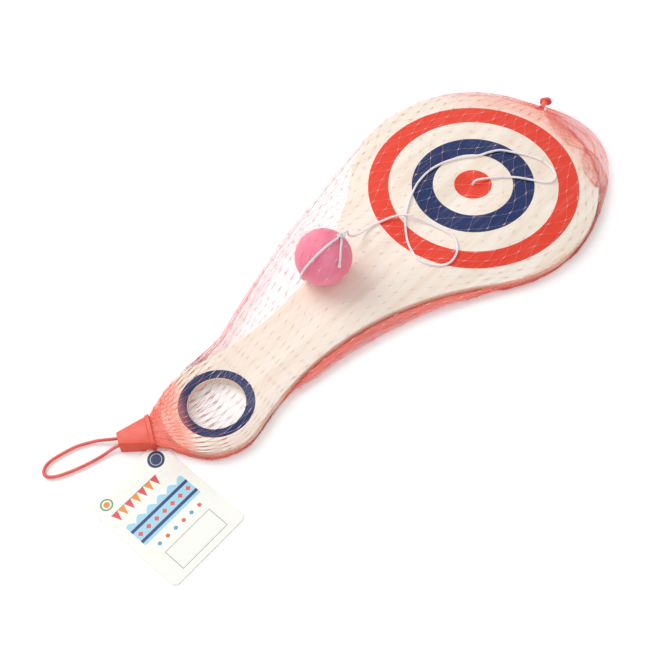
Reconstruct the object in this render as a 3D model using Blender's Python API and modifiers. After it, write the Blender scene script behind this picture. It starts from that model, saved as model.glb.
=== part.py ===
"""A wooden paddle ball toy in its net sleeve, closed by a plastic clip with a hang loop and a card tag.

Units are metres and +Z is up. The origin is under the middle of the painted target, on the
surface that the packed toy lies on. +X runs along the paddle from the handle to the head.
"""

import math

import bmesh
import bpy
from mathutils import Matrix, Vector

# The paddle
HEAD_RADIUS = 0.066
HANDLE_RADIUS = 0.025
HANDLE_CENTRE = 0.187
NECK_WIDTH = 0.035
BLADE_THICKNESS = 0.0048
FINGER_HOLE_RADIUS = 0.01425
FINGER_HOLE_CENTRE = 0.185
COUNTERSINK_RADIUS = 0.004
COUNTERSINK_DEPTH = 0.0026

# The ball, and the way that its bore points, up and towards the head
BALL_RADIUS = 0.0145
BALL_X = -0.096
BALL_Y = 0.0157
BORE_DIRECTION = Vector((0.503, -0.284, 0.816)).normalized()

# The elastic cord and its knots
CORD_DIAMETER = 0.0012
BALL_KNOT_RADIUS = 0.0019
BACK_KNOT_RADIUS = 0.0017
BACK_KNOT_HEIGHT = 0.0022

# The cord round the ball lies in a plane through the bore. Where it turns back outside the bore's
# far end, each pair is an angle from the knot, in degrees, and a height over its seat in diameters.
LOOP_PLANE_NORMAL = Vector((0.020, 0.948, 0.318)).normalized()
LOOP_TURN = [(180, 0.5), (176, 1.4), (170, 1.2), (163, 0.25)]
LOOP_FROM = 152
LOOP_TO = 20
LOOP_STEP = 12
LOOP_END = 14

# The cord's cut tail lies down the ball from the knot, in these directions from the ball's centre
TAIL_DIRECTIONS = [(0.42, -0.45, 0.79), (0.26, -0.58, 0.775), (0.04, -0.765, 0.643), (-0.16, -0.898, 0.411)]
TAIL_FLARE = 1.4

# The net sleeve. Its sides stand just outside the paddle, and its top leaves room for the cord.
NET_THICKNESS = 0.0008
SLEEVE_MARGIN = 0.0012
SLEEVE_CORD_ROOM = 0.0037
RIM_CHAMFER = 0.003

# At +Y the netting runs straight from the head, this far short of its middle, to the handle.
# At -Y it sags off the paddle's neck, and round the head's end it bulges where it is bunched.
TAUT_START = 0.020
TAUT_END = 0.017
SAG_START = 0.004
SAG_END = 0.041
RIGHT_SAG = 0.0060
END_BULGE = 0.0065
END_BULGE_ANGLE = math.radians(-25)
END_BULGE_SPREAD = math.radians(38)

# The netting's tent over the ball: its slope is height over reach. The rings that round off its
# top give a height over the ball's centre and a reach from its axis, in tent radii.
TENT_CLEARANCE = 0.0022
TENT_SLOPE = 1.35
TENT_KNOT_ROOM = 0.0045
TENT_SHOULDER = 0.78
TENT_TOP = [(0.94, 0.56), (1.0, 0.30)]
BALL_SPLIT = 0.038

# The netting's gathered far end, and the bead that seals it
GATHER_RADIUS = 0.0016
GATHER_Y = 0.0086
GATHER_HEIGHT = 0.0048
GATHER_RUN = Vector((0.0022, 0.0004, 0.0012))
SEAL_RADIUS = 0.0020

# The clip, from the middle of its wide mouth
CLIP_MOUTH = Vector((-0.2157, 0.0120, 0.0))
CLIP_ANGLE = math.radians(151.5)
CLIP_LENGTH = 0.0165
CLIP_MOUTH_WIDTH = 0.0180
CLIP_END_WIDTH = 0.0086
CLIP_HEIGHT = 0.0064
CLIP_WALL = 0.0011
CLIP_PLATE = 0.0009
CLIP_EDGE = 0.0008

# The netting gripped in the clip, and the gathered neck outside it: both are flattened ovals
BUNCH_START = 0.0004
BUNCH_END = 0.0095
NECK_AT_CLIP = 0.0128
NECK_AT_CLIP_SHIFT = -0.0010
NECK_AT_SLEEVE = 0.0176
NECK_AT_SLEEVE_SHIFT = -0.0024
NECK_AT_SLEEVE_HEIGHT = 0.0042
NECK_AT_SLEEVE_THICKNESS = 0.0042

# The hang loop
LOOP_DIAMETER = 0.0016
LOOP_SPREAD = 0.0040
LOOP_LIFT = 0.0008
LOOP_ROOT_DEPTH = 0.0026
LOOP_END_ROUNDING = [math.radians(angle) for angle in (10, 32, 60)]

# The card tag
TAG_WIDTH = 0.045
TAG_HEIGHT = 0.059
TAG_THICKNESS = 0.0004
TAG_CORNER_RADIUS = 0.003
TAG_CENTRE = Vector((-0.2378, -0.0228, 0.0))
TAG_ANGLE = math.radians(3)
TAG_SLOPE_LENGTH = 0.0075
TAG_SLOPE_STEPS = 5

# Pieces that touch keep this gap, a cord has this much room round it in a hole, and a cutter runs
# this far past what it cuts
GAP = 0.0003
CORD_ROOM = 0.0004
CUT_REACH = 0.002

BLADE_UNDERSIDE = NET_THICKNESS + GAP
BLADE_TOP = BLADE_UNDERSIDE + BLADE_THICKNESS
SLEEVE_PLATEAU = BLADE_TOP + SLEEVE_CORD_ROOM
SLEEVE_END_RADIUS = HANDLE_RADIUS + SLEEVE_MARGIN + NET_THICKNESS
CORD_RADIUS = CORD_DIAMETER / 2
CORD_HOLE_RADIUS = CORD_RADIUS + CORD_ROOM
CORD_ON_BLADE = BLADE_TOP + GAP + CORD_RADIUS
CORD_ON_BALL = BALL_RADIUS + GAP + CORD_RADIUS
BALL_CENTRE = Vector((BALL_X, BALL_Y, BLADE_TOP + GAP + BALL_RADIUS))
KNOT_CENTRE = BALL_CENTRE + BORE_DIRECTION * (BALL_RADIUS + GAP + BALL_KNOT_RADIUS)
LOOP_RADIUS = LOOP_DIAMETER / 2
LOOP_HEIGHT = CLIP_PLATE + GAP + LOOP_RADIUS + LOOP_LIFT

# The elastic's route: x, y, and the height of its middle over where it lies on the blade. It comes
# up out of the cord hole, runs over the paddle, turns back at the right, and crosses itself once.
HOLE_ROUTE = [
    (0.0, 0.0, -0.0001), (0.0003, -0.0001, 0.0008), (0.0012, -0.0006, 0.0015), (0.0025, -0.0012, 0.0017),
    (0.0041, -0.0019, 0.0013),
]
CORD_ROUTE = [
    (0.0044, -0.00205, 0.0012), (0.0077, -0.0037, 0.0004), (0.0126, -0.0074, 0.0), (0.0172, -0.0125, 0.0),
    (0.0199, -0.0164, 0.0), (0.0230, -0.0220, 0.0), (0.0258, -0.0272, 0.0), (0.0297, -0.0302, 0.0),
    (0.0338, -0.0286, 0.0), (0.0364, -0.0232, 0.0), (0.0368, -0.0159, 0.0), (0.0350, -0.0094, 0.0),
    (0.0321, -0.0034, 0.0), (0.0280, 0.0042, 0.0), (0.0230, 0.0078, 0.0), (0.0165, 0.0110, 0.0),
    (0.0098, 0.0164, 0.0), (0.0012, 0.0210, 0.0), (-0.0085, 0.0231, 0.0), (-0.0187, 0.0221, 0.0),
    (-0.0268, 0.0192, 0.0), (-0.0344, 0.0153, 0.0), (-0.0413, 0.0108, 0.0), (-0.0466, 0.0057, 0.0),
    (-0.0514, 0.0002, 0.0), (-0.0550, -0.0059, 0.0), (-0.0570, -0.0122, 0.0), (-0.0557, -0.0184, 0.0),
    (-0.0523, -0.0237, 0.0), (-0.0478, -0.0261, 0.0), (-0.0429, -0.0254, 0.0), (-0.0385, -0.0230, 0.0),
    (-0.0351, -0.0188, 0.0), (-0.0338, -0.0145, 0.0), (-0.0344, -0.0090, 0.0), (-0.0360, -0.0019, 0.0004),
    (-0.0381, 0.0052, 0.0013), (-0.0410, 0.0107, 0.0017), (-0.0452, 0.0146, 0.0012),
    (-0.0501, 0.0173, 0.0003), (-0.0560, 0.0193, 0.0), (-0.0622, 0.0198, 0.0006),
]

# Its last stretch, up to the ball's knot, from the ball's centre in ball radii
RISE_TO_KNOT = [
    (1.903, 0.228, -0.724), (1.517, 0.117, -0.352), (1.221, -0.021, 0.131), (1.030, -0.170, 0.620),
]

# The hang loop's route over the surface: x, y, and the height of its middle over where it lies
LOOP_ROUTE = [
    (-0.2350, 0.0197, 0.0007), (-0.2410, 0.0209, 0.0), (-0.2487, 0.0228, 0.0), (-0.2557, 0.0252, 0.0),
    (-0.2617, 0.0281, 0.0), (-0.2648, 0.0311, 0.0), (-0.2646, 0.0341, 0.0), (-0.2622, 0.0359, 0.0),
    (-0.2588, 0.0365, 0.0), (-0.2536, 0.0358, 0.0), (-0.2457, 0.0338, 0.0), (-0.2398, 0.0308, 0.0),
    (-0.2360, 0.0279, 0.0007),
]


def clear_scene():
    for obj in list(bpy.data.objects):
        bpy.data.objects.remove(obj, do_unlink=True)


def new_collection(name):
    collection = bpy.data.collections.new(name)
    bpy.context.scene.collection.children.link(collection)
    return collection


def new_material(name, colour, roughness, metallic=0.0):
    material = bpy.data.materials.new(name)
    material.use_nodes = True
    material.diffuse_color = (*colour, 1.0)
    shader = material.node_tree.nodes["Principled BSDF"]
    shader.inputs["Base Color"].default_value = (*colour, 1.0)
    shader.inputs["Roughness"].default_value = roughness
    shader.inputs["Metallic"].default_value = metallic
    return material


def add_object(name, data, collection, material):
    obj = bpy.data.objects.new(name, data)
    collection.objects.link(obj)
    data.materials.append(material)
    return obj


def add_cutter(name, data, collection, material):
    obj = add_object(name, data, collection, material)
    obj.hide_render = True
    obj.display_type = "WIRE"
    return obj


def combine(obj, other, operation):
    modifier = obj.modifiers.new(other.name, "BOOLEAN")
    modifier.operation = operation
    modifier.solver = "EXACT"
    modifier.object = other


def mesh_from(bm, name):
    """A mesh from a bmesh, with its faces pointing out."""
    bmesh.ops.recalc_face_normals(bm, faces=bm.faces)
    mesh = bpy.data.meshes.new(name)
    bm.to_mesh(mesh)
    bm.free()
    return mesh


def shade_round(obj, angle=math.radians(40)):
    obj.data.shade_smooth()
    obj.data.set_sharp_from_angle(angle=angle)


def arc(centre, radius, start, end, count):
    """Points along an arc in the plane, both ends included."""
    points = []
    for i in range(count):
        angle = start + (end - start) * i / (count - 1)
        points.append(Vector((centre[0] + radius * math.cos(angle), centre[1] + radius * math.sin(angle))))
    return points


def circle(centre, radius, count):
    return arc(centre, radius, 0, math.tau * (count - 1) / count, count)


def cylinder(radius, depth, segments, top_radius=None):
    """A cylinder's bmesh, or a cone's where its top has another radius, centred on its own middle."""
    bm = bmesh.new()
    bmesh.ops.create_cone(
        bm, cap_ends=True, segments=segments, radius1=radius,
        radius2=radius if top_radius is None else top_radius, depth=depth,
    )
    return bm


def box(low, high):
    """A box's bmesh between two corners."""
    bm = bmesh.new()
    bmesh.ops.create_cube(bm, size=1.0)
    bmesh.ops.scale(bm, verts=bm.verts, vec=high - low)
    bmesh.ops.translate(bm, verts=bm.verts, vec=(low + high) / 2)
    return bm


def lofted(rings, name):
    """A closed mesh through rings of as many points each, with a face over both ends."""
    bm = bmesh.new()
    made = [[bm.verts.new(point) for point in ring] for ring in rings]
    for lower, upper in zip(made, made[1:]):
        for i in range(len(lower)):
            k = (i + 1) % len(lower)
            bm.faces.new((lower[i], lower[k], upper[k], upper[i]))
    bm.faces.new(list(reversed(made[0])))
    bm.faces.new(made[-1])
    return mesh_from(bm, name)


def ring_at(outline, height):
    return [Vector((point.x, point.y, height)) for point in outline]


def oval(x, middle_y, width, middle_z, thickness):
    """A ring of points round a flattened oval that stands across X."""
    ring = []
    for i in range(20):
        angle = math.tau * i / 20
        y = middle_y + width / 2 * math.cos(angle)
        ring.append(Vector((x, y, middle_z + thickness / 2 * math.sin(angle))))
    return ring


def flat_piece(name, outlines, thickness, underside, collection, material):
    """A flat sheet or board cut to an outline, with holes where there are inner outlines, as a mesh."""
    curve = bpy.data.curves.new(name, "CURVE")
    curve.dimensions = "2D"
    curve.fill_mode = "BOTH"
    curve.extrude = thickness / 2
    for outline in outlines:
        spline = curve.splines.new("POLY")
        spline.points.add(len(outline) - 1)
        for point, place in zip(spline.points, outline):
            point.co = (place.x, place.y, 0, 1)
        spline.use_cyclic_u = True
    drawn = add_object(name, curve, collection, material)
    drawn.location = (0, 0, underside + thickness / 2)
    bpy.context.view_layer.update()

    mesh = bpy.data.meshes.new_from_object(drawn.evaluated_get(bpy.context.evaluated_depsgraph_get()))
    bm = bmesh.new()
    bm.from_mesh(mesh)
    bmesh.ops.remove_doubles(bm, verts=bm.verts, dist=1e-6)
    bmesh.ops.recalc_face_normals(bm, faces=bm.faces)
    bm.to_mesh(mesh)
    bm.free()
    mesh.materials.clear()
    place = drawn.matrix_world.copy()
    bpy.data.objects.remove(drawn, do_unlink=True)
    piece = add_object(name, mesh, collection, material)
    piece.matrix_world = place
    return piece


def smooth_route(route, spacing):
    """Points at an even spacing on a smooth curve through a route's own points, both ends kept."""
    steps = 12
    fine = []
    for i in range(len(route) - 1):
        before, after = route[max(i - 1, 0)], route[min(i + 2, len(route) - 1)]
        start, end = route[i], route[i + 1]
        for k in range(steps):
            t = k / steps
            turn = 2 * before - 5 * start + 4 * end - after
            bend = 3 * start - before - 3 * end + after
            fine.append(start + (end - before) * t / 2 + turn * t**2 / 2 + bend * t**3 / 2)
    fine.append(route[-1])
    lengths = [0.0]
    for a, b in zip(fine, fine[1:]):
        lengths.append(lengths[-1] + (b - a).length)
    count = max(2, round(lengths[-1] / spacing))
    points = []
    k = 0
    for i in range(count + 1):
        target = lengths[-1] * i / count
        while k < len(fine) - 2 and lengths[k + 1] < target:
            k += 1
        share = (target - lengths[k]) / max(lengths[k + 1] - lengths[k], 1e-9)
        points.append(fine[k].lerp(fine[k + 1], min(share, 1.0)))
    return points


def tube(name, points, diameter, collection, material, swell=None):
    """A round cord along points, with closed ends. swell scales its radius at each point."""
    curve = bpy.data.curves.new(name, "CURVE")
    curve.dimensions = "3D"
    curve.bevel_depth = diameter / 2
    curve.bevel_resolution = 2
    curve.use_fill_caps = True
    spline = curve.splines.new("POLY")
    spline.points.add(len(points) - 1)
    for point, place, scale in zip(spline.points, points, swell or [1.0] * len(points)):
        point.co = (*place, 1)
        point.radius = scale
    return add_object(name, curve, collection, material)


def lump(name, centre, width, height, collection, material):
    """A knot or a melted bead, as an upright ellipsoid."""
    bm = bmesh.new()
    bmesh.ops.create_uvsphere(bm, u_segments=20, v_segments=12, radius=width / 2)
    bmesh.ops.scale(bm, verts=bm.verts, vec=(1, 1, height / width))
    obj = add_object(name, mesh_from(bm, name), collection, material)
    obj.location = centre
    shade_round(obj)
    return obj


def neck_arc():
    """Centre and radius of the arc at +Y that meets the paddle's two round ends and its neck's width."""
    half = NECK_WIDTH / 2
    middle = (HANDLE_CENTRE**2 + HEAD_RADIUS**2 - HANDLE_RADIUS**2) / (2 * HANDLE_CENTRE)
    lean = (HEAD_RADIUS - HANDLE_RADIUS) / HANDLE_CENTRE
    slack = HEAD_RADIUS - half - middle * lean
    rest = middle**2 - HEAD_RADIUS**2 + half**2
    radius = rest / (slack + math.sqrt(slack**2 - lean**2 * rest))
    return Vector((-(middle + lean * radius), half + radius)), radius


def blade_half_width(x):
    """Half the paddle's width at a place along it, between the middles of its two round ends."""
    centre, radius = neck_arc()
    head_meets = centre.x * HEAD_RADIUS / (HEAD_RADIUS + radius)
    handle_meets = (centre.x + HANDLE_CENTRE) * HANDLE_RADIUS / (HANDLE_RADIUS + radius) - HANDLE_CENTRE
    if x > head_meets:
        return math.sqrt(HEAD_RADIUS**2 - x**2)
    if x < handle_meets:
        return math.sqrt(HANDLE_RADIUS**2 - (x + HANDLE_CENTRE) ** 2)
    return centre.y - math.sqrt(radius**2 - (x - centre.x) ** 2)


def blade_outline():
    """The paddle's closed outline, from the head's far end round by +Y."""
    centre, radius = neck_arc()
    head_angle = math.atan2(centre.y, centre.x)
    handle_angle = math.atan2(centre.y, centre.x + HANDLE_CENTRE)
    head = arc((0, 0), HEAD_RADIUS, 0, head_angle, 30)
    neck = arc(centre, radius, head_angle - math.pi, handle_angle - math.pi, 14)
    handle = arc((-HANDLE_CENTRE, 0), HANDLE_RADIUS, handle_angle, math.pi, 14)
    upper = head + neck[1:] + handle[1:]
    lower = [Vector((point.x, -point.y)) for point in reversed(upper[1:-1])]
    return upper + lower


def sleeve_outline(margin):
    """The net sleeve's closed outline, at this distance outside the paddle where it touches."""
    head = HEAD_RADIUS + margin
    start = math.atan2(-math.sqrt(head**2 - SAG_END**2), -SAG_END)
    end = math.atan2(math.sqrt(head**2 - TAUT_START**2), -TAUT_START)
    points = []
    for i in range(44):
        angle = start + (end - start) * i / 43
        away = min(abs(angle - END_BULGE_ANGLE) / END_BULGE_SPREAD, 1.0)
        radius = head + END_BULGE * math.cos(away * math.pi / 2) ** 2
        points.append(Vector((radius * math.cos(angle), radius * math.sin(angle))))

    taut_x = TAUT_END - HANDLE_CENTRE
    taut_from = points[-1]
    taut_to = Vector((taut_x, blade_half_width(taut_x) + margin))
    points += [taut_from.lerp(taut_to, i / 12) for i in range(1, 13)]
    round_x = taut_x - TAUT_END / 2
    points.append(Vector((round_x, blade_half_width(round_x) + margin)))
    points += arc((-HANDLE_CENTRE, 0), HANDLE_RADIUS + margin, math.pi / 2, math.pi * 3 / 2, 22)

    for i in range(1, 20):
        share = i / 20
        x = -HANDLE_CENTRE + SAG_START + (HANDLE_CENTRE - SAG_START - SAG_END) * share
        sag = RIGHT_SAG * math.sin(math.pi * share) ** 2
        points.append(Vector((x, -blade_half_width(x) - margin - sag)))
    return points


def inset(points, distance):
    """An outline that runs anticlockwise, drawn in by a distance."""
    drawn_in = []
    for i, point in enumerate(points):
        along = (points[(i + 1) % len(points)] - points[i - 1]).normalized()
        drawn_in.append(point + Vector((-along.y, along.x)) * distance)
    return drawn_in


def make_blade(parts, cutters, wood):
    finger_hole = circle((-FINGER_HOLE_CENTRE, 0), FINGER_HOLE_RADIUS, 48)
    cord_hole = circle((0, 0), CORD_HOLE_RADIUS, 16)
    outlines = [blade_outline(), finger_hole, cord_hole]
    blade = flat_piece("paddle_blade", outlines, BLADE_THICKNESS, BLADE_UNDERSIDE, parts, wood)

    slope = (COUNTERSINK_RADIUS - CORD_HOLE_RADIUS) / COUNTERSINK_DEPTH
    below = COUNTERSINK_RADIUS + slope * CUT_REACH
    sink = mesh_from(cylinder(below, COUNTERSINK_DEPTH + CUT_REACH, 24, CORD_HOLE_RADIUS), "countersink")
    cutter = add_cutter("countersink", sink, cutters, wood)
    cutter.location = (0, 0, BLADE_UNDERSIDE + (COUNTERSINK_DEPTH - CUT_REACH) / 2)
    combine(blade, cutter, "DIFFERENCE")


def make_ball(parts, cutters, rubber):
    """The ball, turned so that its bore runs along its own Z."""
    place = Matrix.Translation(BALL_CENTRE) @ BORE_DIRECTION.to_track_quat("Z", "Y").to_matrix().to_4x4()
    bm = bmesh.new()
    bmesh.ops.create_uvsphere(bm, u_segments=40, v_segments=20, radius=BALL_RADIUS)
    ball = add_object("rubber_ball", mesh_from(bm, "rubber_ball"), parts, rubber)
    ball.matrix_world = place
    shade_round(ball)

    bore = mesh_from(cylinder(CORD_HOLE_RADIUS, 2 * (BALL_RADIUS + CUT_REACH), 16), "ball_bore")
    cutter = add_cutter("ball_bore", bore, cutters, rubber)
    cutter.matrix_world = place
    combine(ball, cutter, "DIFFERENCE")


def on_loop_plane(degrees, radius):
    """A point in the plane of the cord round the ball, at an angle from the knot over the ball's top."""
    over = BORE_DIRECTION.cross(LOOP_PLANE_NORMAL).normalized()
    angle = math.radians(degrees)
    return BALL_CENTRE + (BORE_DIRECTION * math.cos(angle) + over * math.sin(angle)) * radius


def make_ball_tie(parts, elastic):
    """The cord through the bore and back over the ball, its knot, and the short tail past the knot."""
    lump("ball_knot", KNOT_CENTRE, 2 * BALL_KNOT_RADIUS, 2 * BALL_KNOT_RADIUS, parts, elastic)

    through = (1, 0.8, 0.4, 0, -0.4, -0.8, -1)
    route = [BALL_CENTRE + BORE_DIRECTION * BALL_RADIUS * share for share in through]
    for degrees, height in LOOP_TURN:
        route.append(on_loop_plane(degrees, CORD_ON_BALL + height * CORD_DIAMETER))
    for degrees in range(LOOP_FROM, LOOP_TO - 1, -LOOP_STEP):
        route.append(on_loop_plane(degrees, CORD_ON_BALL))
    beside_knot = on_loop_plane(LOOP_END, CORD_ON_BALL)
    to_knot = (KNOT_CENTRE - beside_knot).normalized()
    route += [beside_knot, KNOT_CENTRE - to_knot * (BALL_KNOT_RADIUS + GAP)]
    tube("ball_cord_loop", smooth_route(route, CORD_DIAMETER), CORD_DIAMETER, parts, elastic)

    tail = [BALL_CENTRE + Vector(way).normalized() * (CORD_ON_BALL + GAP / 2) for way in TAIL_DIRECTIONS]
    from_knot = (tail[0] - KNOT_CENTRE).normalized()
    tail.insert(0, KNOT_CENTRE + from_knot * (BALL_KNOT_RADIUS + GAP))
    points = smooth_route(tail, 1.5 * CORD_DIAMETER)
    swell = [1.0] * (len(points) - 2) + [(1 + TAIL_FLARE) / 2, TAIL_FLARE]
    tube("cord_tail", points, CORD_DIAMETER, parts, elastic, swell)


def make_elastic(parts, elastic):
    """The free stretch over the paddle, the stretch up through the cord hole, and the knot at the back."""
    route = [Vector((x, y, CORD_ON_BLADE + rise)) for x, y, rise in CORD_ROUTE]
    route += [BALL_CENTRE + Vector(radii) * BALL_RADIUS for radii in RISE_TO_KNOT]
    to_knot = (KNOT_CENTRE - route[-1]).normalized()
    route.append(KNOT_CENTRE - to_knot * (BALL_KNOT_RADIUS + GAP))
    tube("elastic_cord", smooth_route(route, 3.4 * CORD_DIAMETER), CORD_DIAMETER, parts, elastic)

    knot_middle = BLADE_UNDERSIDE + GAP / 2 + BACK_KNOT_HEIGHT / 2
    lump("back_knot", (0, 0, knot_middle), 2 * BACK_KNOT_RADIUS, BACK_KNOT_HEIGHT, parts, elastic)
    foot = Vector((0, 0, knot_middle + BACK_KNOT_HEIGHT / 2 + GAP))
    rising = [Vector((x, y, CORD_ON_BLADE + rise)) for x, y, rise in HOLE_ROUTE]
    points = [foot, foot.lerp(rising[0], 0.8)] + smooth_route(rising, CORD_RADIUS)
    tube("cord_through_blade", points, CORD_DIAMETER, parts, elastic)


def tent_rings(offset):
    """Rings of the netting's tent over the ball, drawn out towards the head to cover the ball's knot."""
    radius = BALL_RADIUS + TENT_CLEARANCE + offset
    tip = BALL_CENTRE.z + radius * math.sqrt(1 + TENT_SLOPE**2)
    foot = SLEEVE_PLATEAU + offset - RIM_CHAMFER / 3
    shoulder = BALL_CENTRE.z + radius * TENT_SHOULDER
    levels = [(foot, (tip - foot) / TENT_SLOPE), (shoulder, (tip - shoulder) / TENT_SLOPE)]
    levels += [(BALL_CENTRE.z + radius * height, radius * reach) for height, reach in TENT_TOP]
    ahead = (BALL_CENTRE.x + TENT_KNOT_ROOM, BALL_CENTRE.y)
    rings = []
    for level, reach in levels:
        outline = arc(ahead, reach, -math.pi / 2, math.pi / 2, 15)
        outline += arc(BALL_CENTRE, reach, math.pi / 2, math.pi * 3 / 2, 15)
        rings.append(ring_at(outline, level))
    return rings


def make_net_sleeve(parts, cutters, netting):
    """The net sleeve round the paddle and the ball: a flat underside, and a top whose sides turn down."""
    outer = sleeve_outline(SLEEVE_MARGIN + NET_THICKNESS)
    flat_piece("net_sleeve_under", [outer], NET_THICKNESS, 0.0, parts, netting)

    outside = [
        ring_at(outer, BLADE_UNDERSIDE), ring_at(outer, BLADE_TOP + 2 * GAP),
        ring_at(inset(outer, RIM_CHAMFER), SLEEVE_PLATEAU + NET_THICKNESS),
    ]
    inner = sleeve_outline(SLEEVE_MARGIN)
    inside = [
        ring_at(inner, BLADE_UNDERSIDE - CUT_REACH), ring_at(inner, BLADE_TOP + GAP),
        ring_at(inset(inner, RIM_CHAMFER), SLEEVE_PLATEAU),
    ]
    hollow = add_cutter("sleeve_hollow", lofted(inside, "sleeve_hollow"), cutters, netting)
    tent = add_cutter("tent", lofted(tent_rings(NET_THICKNESS), "tent"), cutters, netting)
    tent_hollow = add_cutter("tent_hollow", lofted(tent_rings(0.0), "tent_hollow"), cutters, netting)

    ahead = BALL_X + BALL_SPLIT
    behind = BALL_X - BALL_SPLIT
    far = 2 * HANDLE_CENTRE
    stretches = {
        "net_sleeve_handle": (-far, behind - GAP / 2),
        "net_sleeve_ball": (behind + GAP / 2, ahead - GAP / 2),
        "net_sleeve_head": (ahead + GAP / 2, far),
    }
    for name, (x_from, x_to) in stretches.items():
        sleeve = add_object(name, lofted(outside, name), parts, netting)
        if name == "net_sleeve_ball":
            combine(sleeve, tent, "UNION")
        combine(sleeve, hollow, "DIFFERENCE")
        if name == "net_sleeve_ball":
            combine(sleeve, tent_hollow, "DIFFERENCE")
        stretch = mesh_from(box(Vector((x_from, -far, -far)), Vector((x_to, far, far))), name + "_stretch")
        combine(sleeve, add_cutter(name + "_stretch", stretch, cutters, netting), "INTERSECT")


def make_net_end(parts, netting):
    """The gathered far end of the netting, past the head, and the melted bead that seals it."""
    clear = HEAD_RADIUS + SLEEVE_MARGIN + NET_THICKNESS + GAP + GATHER_RADIUS / 2
    foot = Vector((clear, GATHER_Y, GATHER_HEIGHT))
    tip = foot + GATHER_RUN
    tube("net_tail", [foot, foot.lerp(tip, 0.5), tip], 2 * GATHER_RADIUS, parts, netting)
    centre = tip + GATHER_RUN.normalized() * (SEAL_RADIUS + GAP)
    lump("net_tail_seal", centre, 2 * SEAL_RADIUS, 2 * SEAL_RADIUS, parts, netting)


def clip_place():
    """The clip's own frame: x runs from its wide mouth to its narrow end, y towards the tag."""
    return Matrix.Translation(CLIP_MOUTH) @ Matrix.Rotation(CLIP_ANGLE, 4, "Z")


def clip_half_width(x):
    """Half the clip's outer width at a distance from its mouth."""
    return (CLIP_MOUTH_WIDTH + (CLIP_END_WIDTH - CLIP_MOUTH_WIDTH) * x / CLIP_LENGTH) / 2


def clip_outline(start, end, wall):
    """The clip's tapered outline between two distances from its mouth, drawn in by a wall."""
    near, far = clip_half_width(start) - wall, clip_half_width(end) - wall
    return [Vector((start, near)), Vector((start, -near)), Vector((end, -far)), Vector((end, far))]


def make_clip(parts, cutters, plastic):
    """A flat back plate, and a deep cap hinged to its far side and snapped shut over the netting."""
    place = clip_place()
    whole = clip_outline(0, CLIP_LENGTH, 0)
    plate = flat_piece("clip_plate", [whole], CLIP_PLATE, 0.0, parts, plastic)
    plate.matrix_world = place @ plate.matrix_world

    foot = CLIP_PLATE + GAP
    shoulder = CLIP_HEIGHT - CLIP_EDGE
    crown = clip_outline(CLIP_EDGE, CLIP_LENGTH - CLIP_EDGE, CLIP_EDGE)
    rings = [ring_at(whole, foot), ring_at(whole, shoulder), ring_at(crown, CLIP_HEIGHT)]
    cap = add_object("clip_cap", lofted(rings, "clip_cap"), parts, plastic)
    cap.matrix_world = place
    room = clip_outline(-CUT_REACH, CLIP_LENGTH + CUT_REACH, CLIP_WALL)
    rings = [ring_at(room, foot - CUT_REACH), ring_at(room, CLIP_HEIGHT - CLIP_WALL)]
    hollow = add_cutter("clip_hollow", lofted(rings, "clip_hollow"), cutters, plastic)
    hollow.matrix_world = place
    combine(cap, hollow, "DIFFERENCE")

    low = Vector((-CUT_REACH, 0, 0))
    high = Vector((tag_reach() + 3 * GAP, CLIP_MOUTH_WIDTH, foot + TAG_THICKNESS + GAP))
    slot = add_cutter("tag_slot", mesh_from(box(low, high), "tag_slot"), cutters, plastic)
    slot.matrix_world = place
    combine(cap, slot, "DIFFERENCE")


def make_gathered_net(parts, cutters, netting):
    """The netting drawn together: the bunch gripped in the clip, and the short neck outside it."""
    place = clip_place()
    floor = CLIP_PLATE + GAP + TAG_THICKNESS + GAP
    roof = CLIP_HEIGHT - CLIP_WALL - GAP
    middle = (floor + roof) / 2
    rings = []
    for x in (BUNCH_START, (BUNCH_START + BUNCH_END) / 2, BUNCH_END):
        width = 2 * (clip_half_width(x) - CLIP_WALL - GAP)
        rings.append(oval(x, 0, width, middle, roof - floor))
    bunch = add_object("net_bunch", lofted(rings, "net_bunch"), parts, netting)
    bunch.matrix_world = place

    round_end = place.inverted() @ Vector((-HANDLE_CENTRE, 0, 0))
    reach = SLEEVE_END_RADIUS + GAP
    inside = round_end.x + reach - CUT_REACH
    rings = [
        oval(-GAP, NECK_AT_CLIP_SHIFT, NECK_AT_CLIP, middle, roof - floor),
        oval(inside, NECK_AT_SLEEVE_SHIFT, NECK_AT_SLEEVE, NECK_AT_SLEEVE_HEIGHT, NECK_AT_SLEEVE_THICKNESS),
    ]
    neck = add_object("net_neck", lofted(rings, "net_neck"), parts, netting)
    neck.matrix_world = place
    end = mesh_from(cylinder(reach, 4 * CLIP_HEIGHT, 96), "round_end")
    cutter = add_cutter("round_end", end, cutters, netting)
    cutter.location = (-HANDLE_CENTRE, 0, 0)
    combine(neck, cutter, "DIFFERENCE")


def loop_pivot():
    """Where the hang loop bends as it leaves the clip, in the clip's frame: midway between its strands."""
    return Vector((CLIP_LENGTH + GAP + LOOP_RADIUS, 0, LOOP_HEIGHT))


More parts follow.
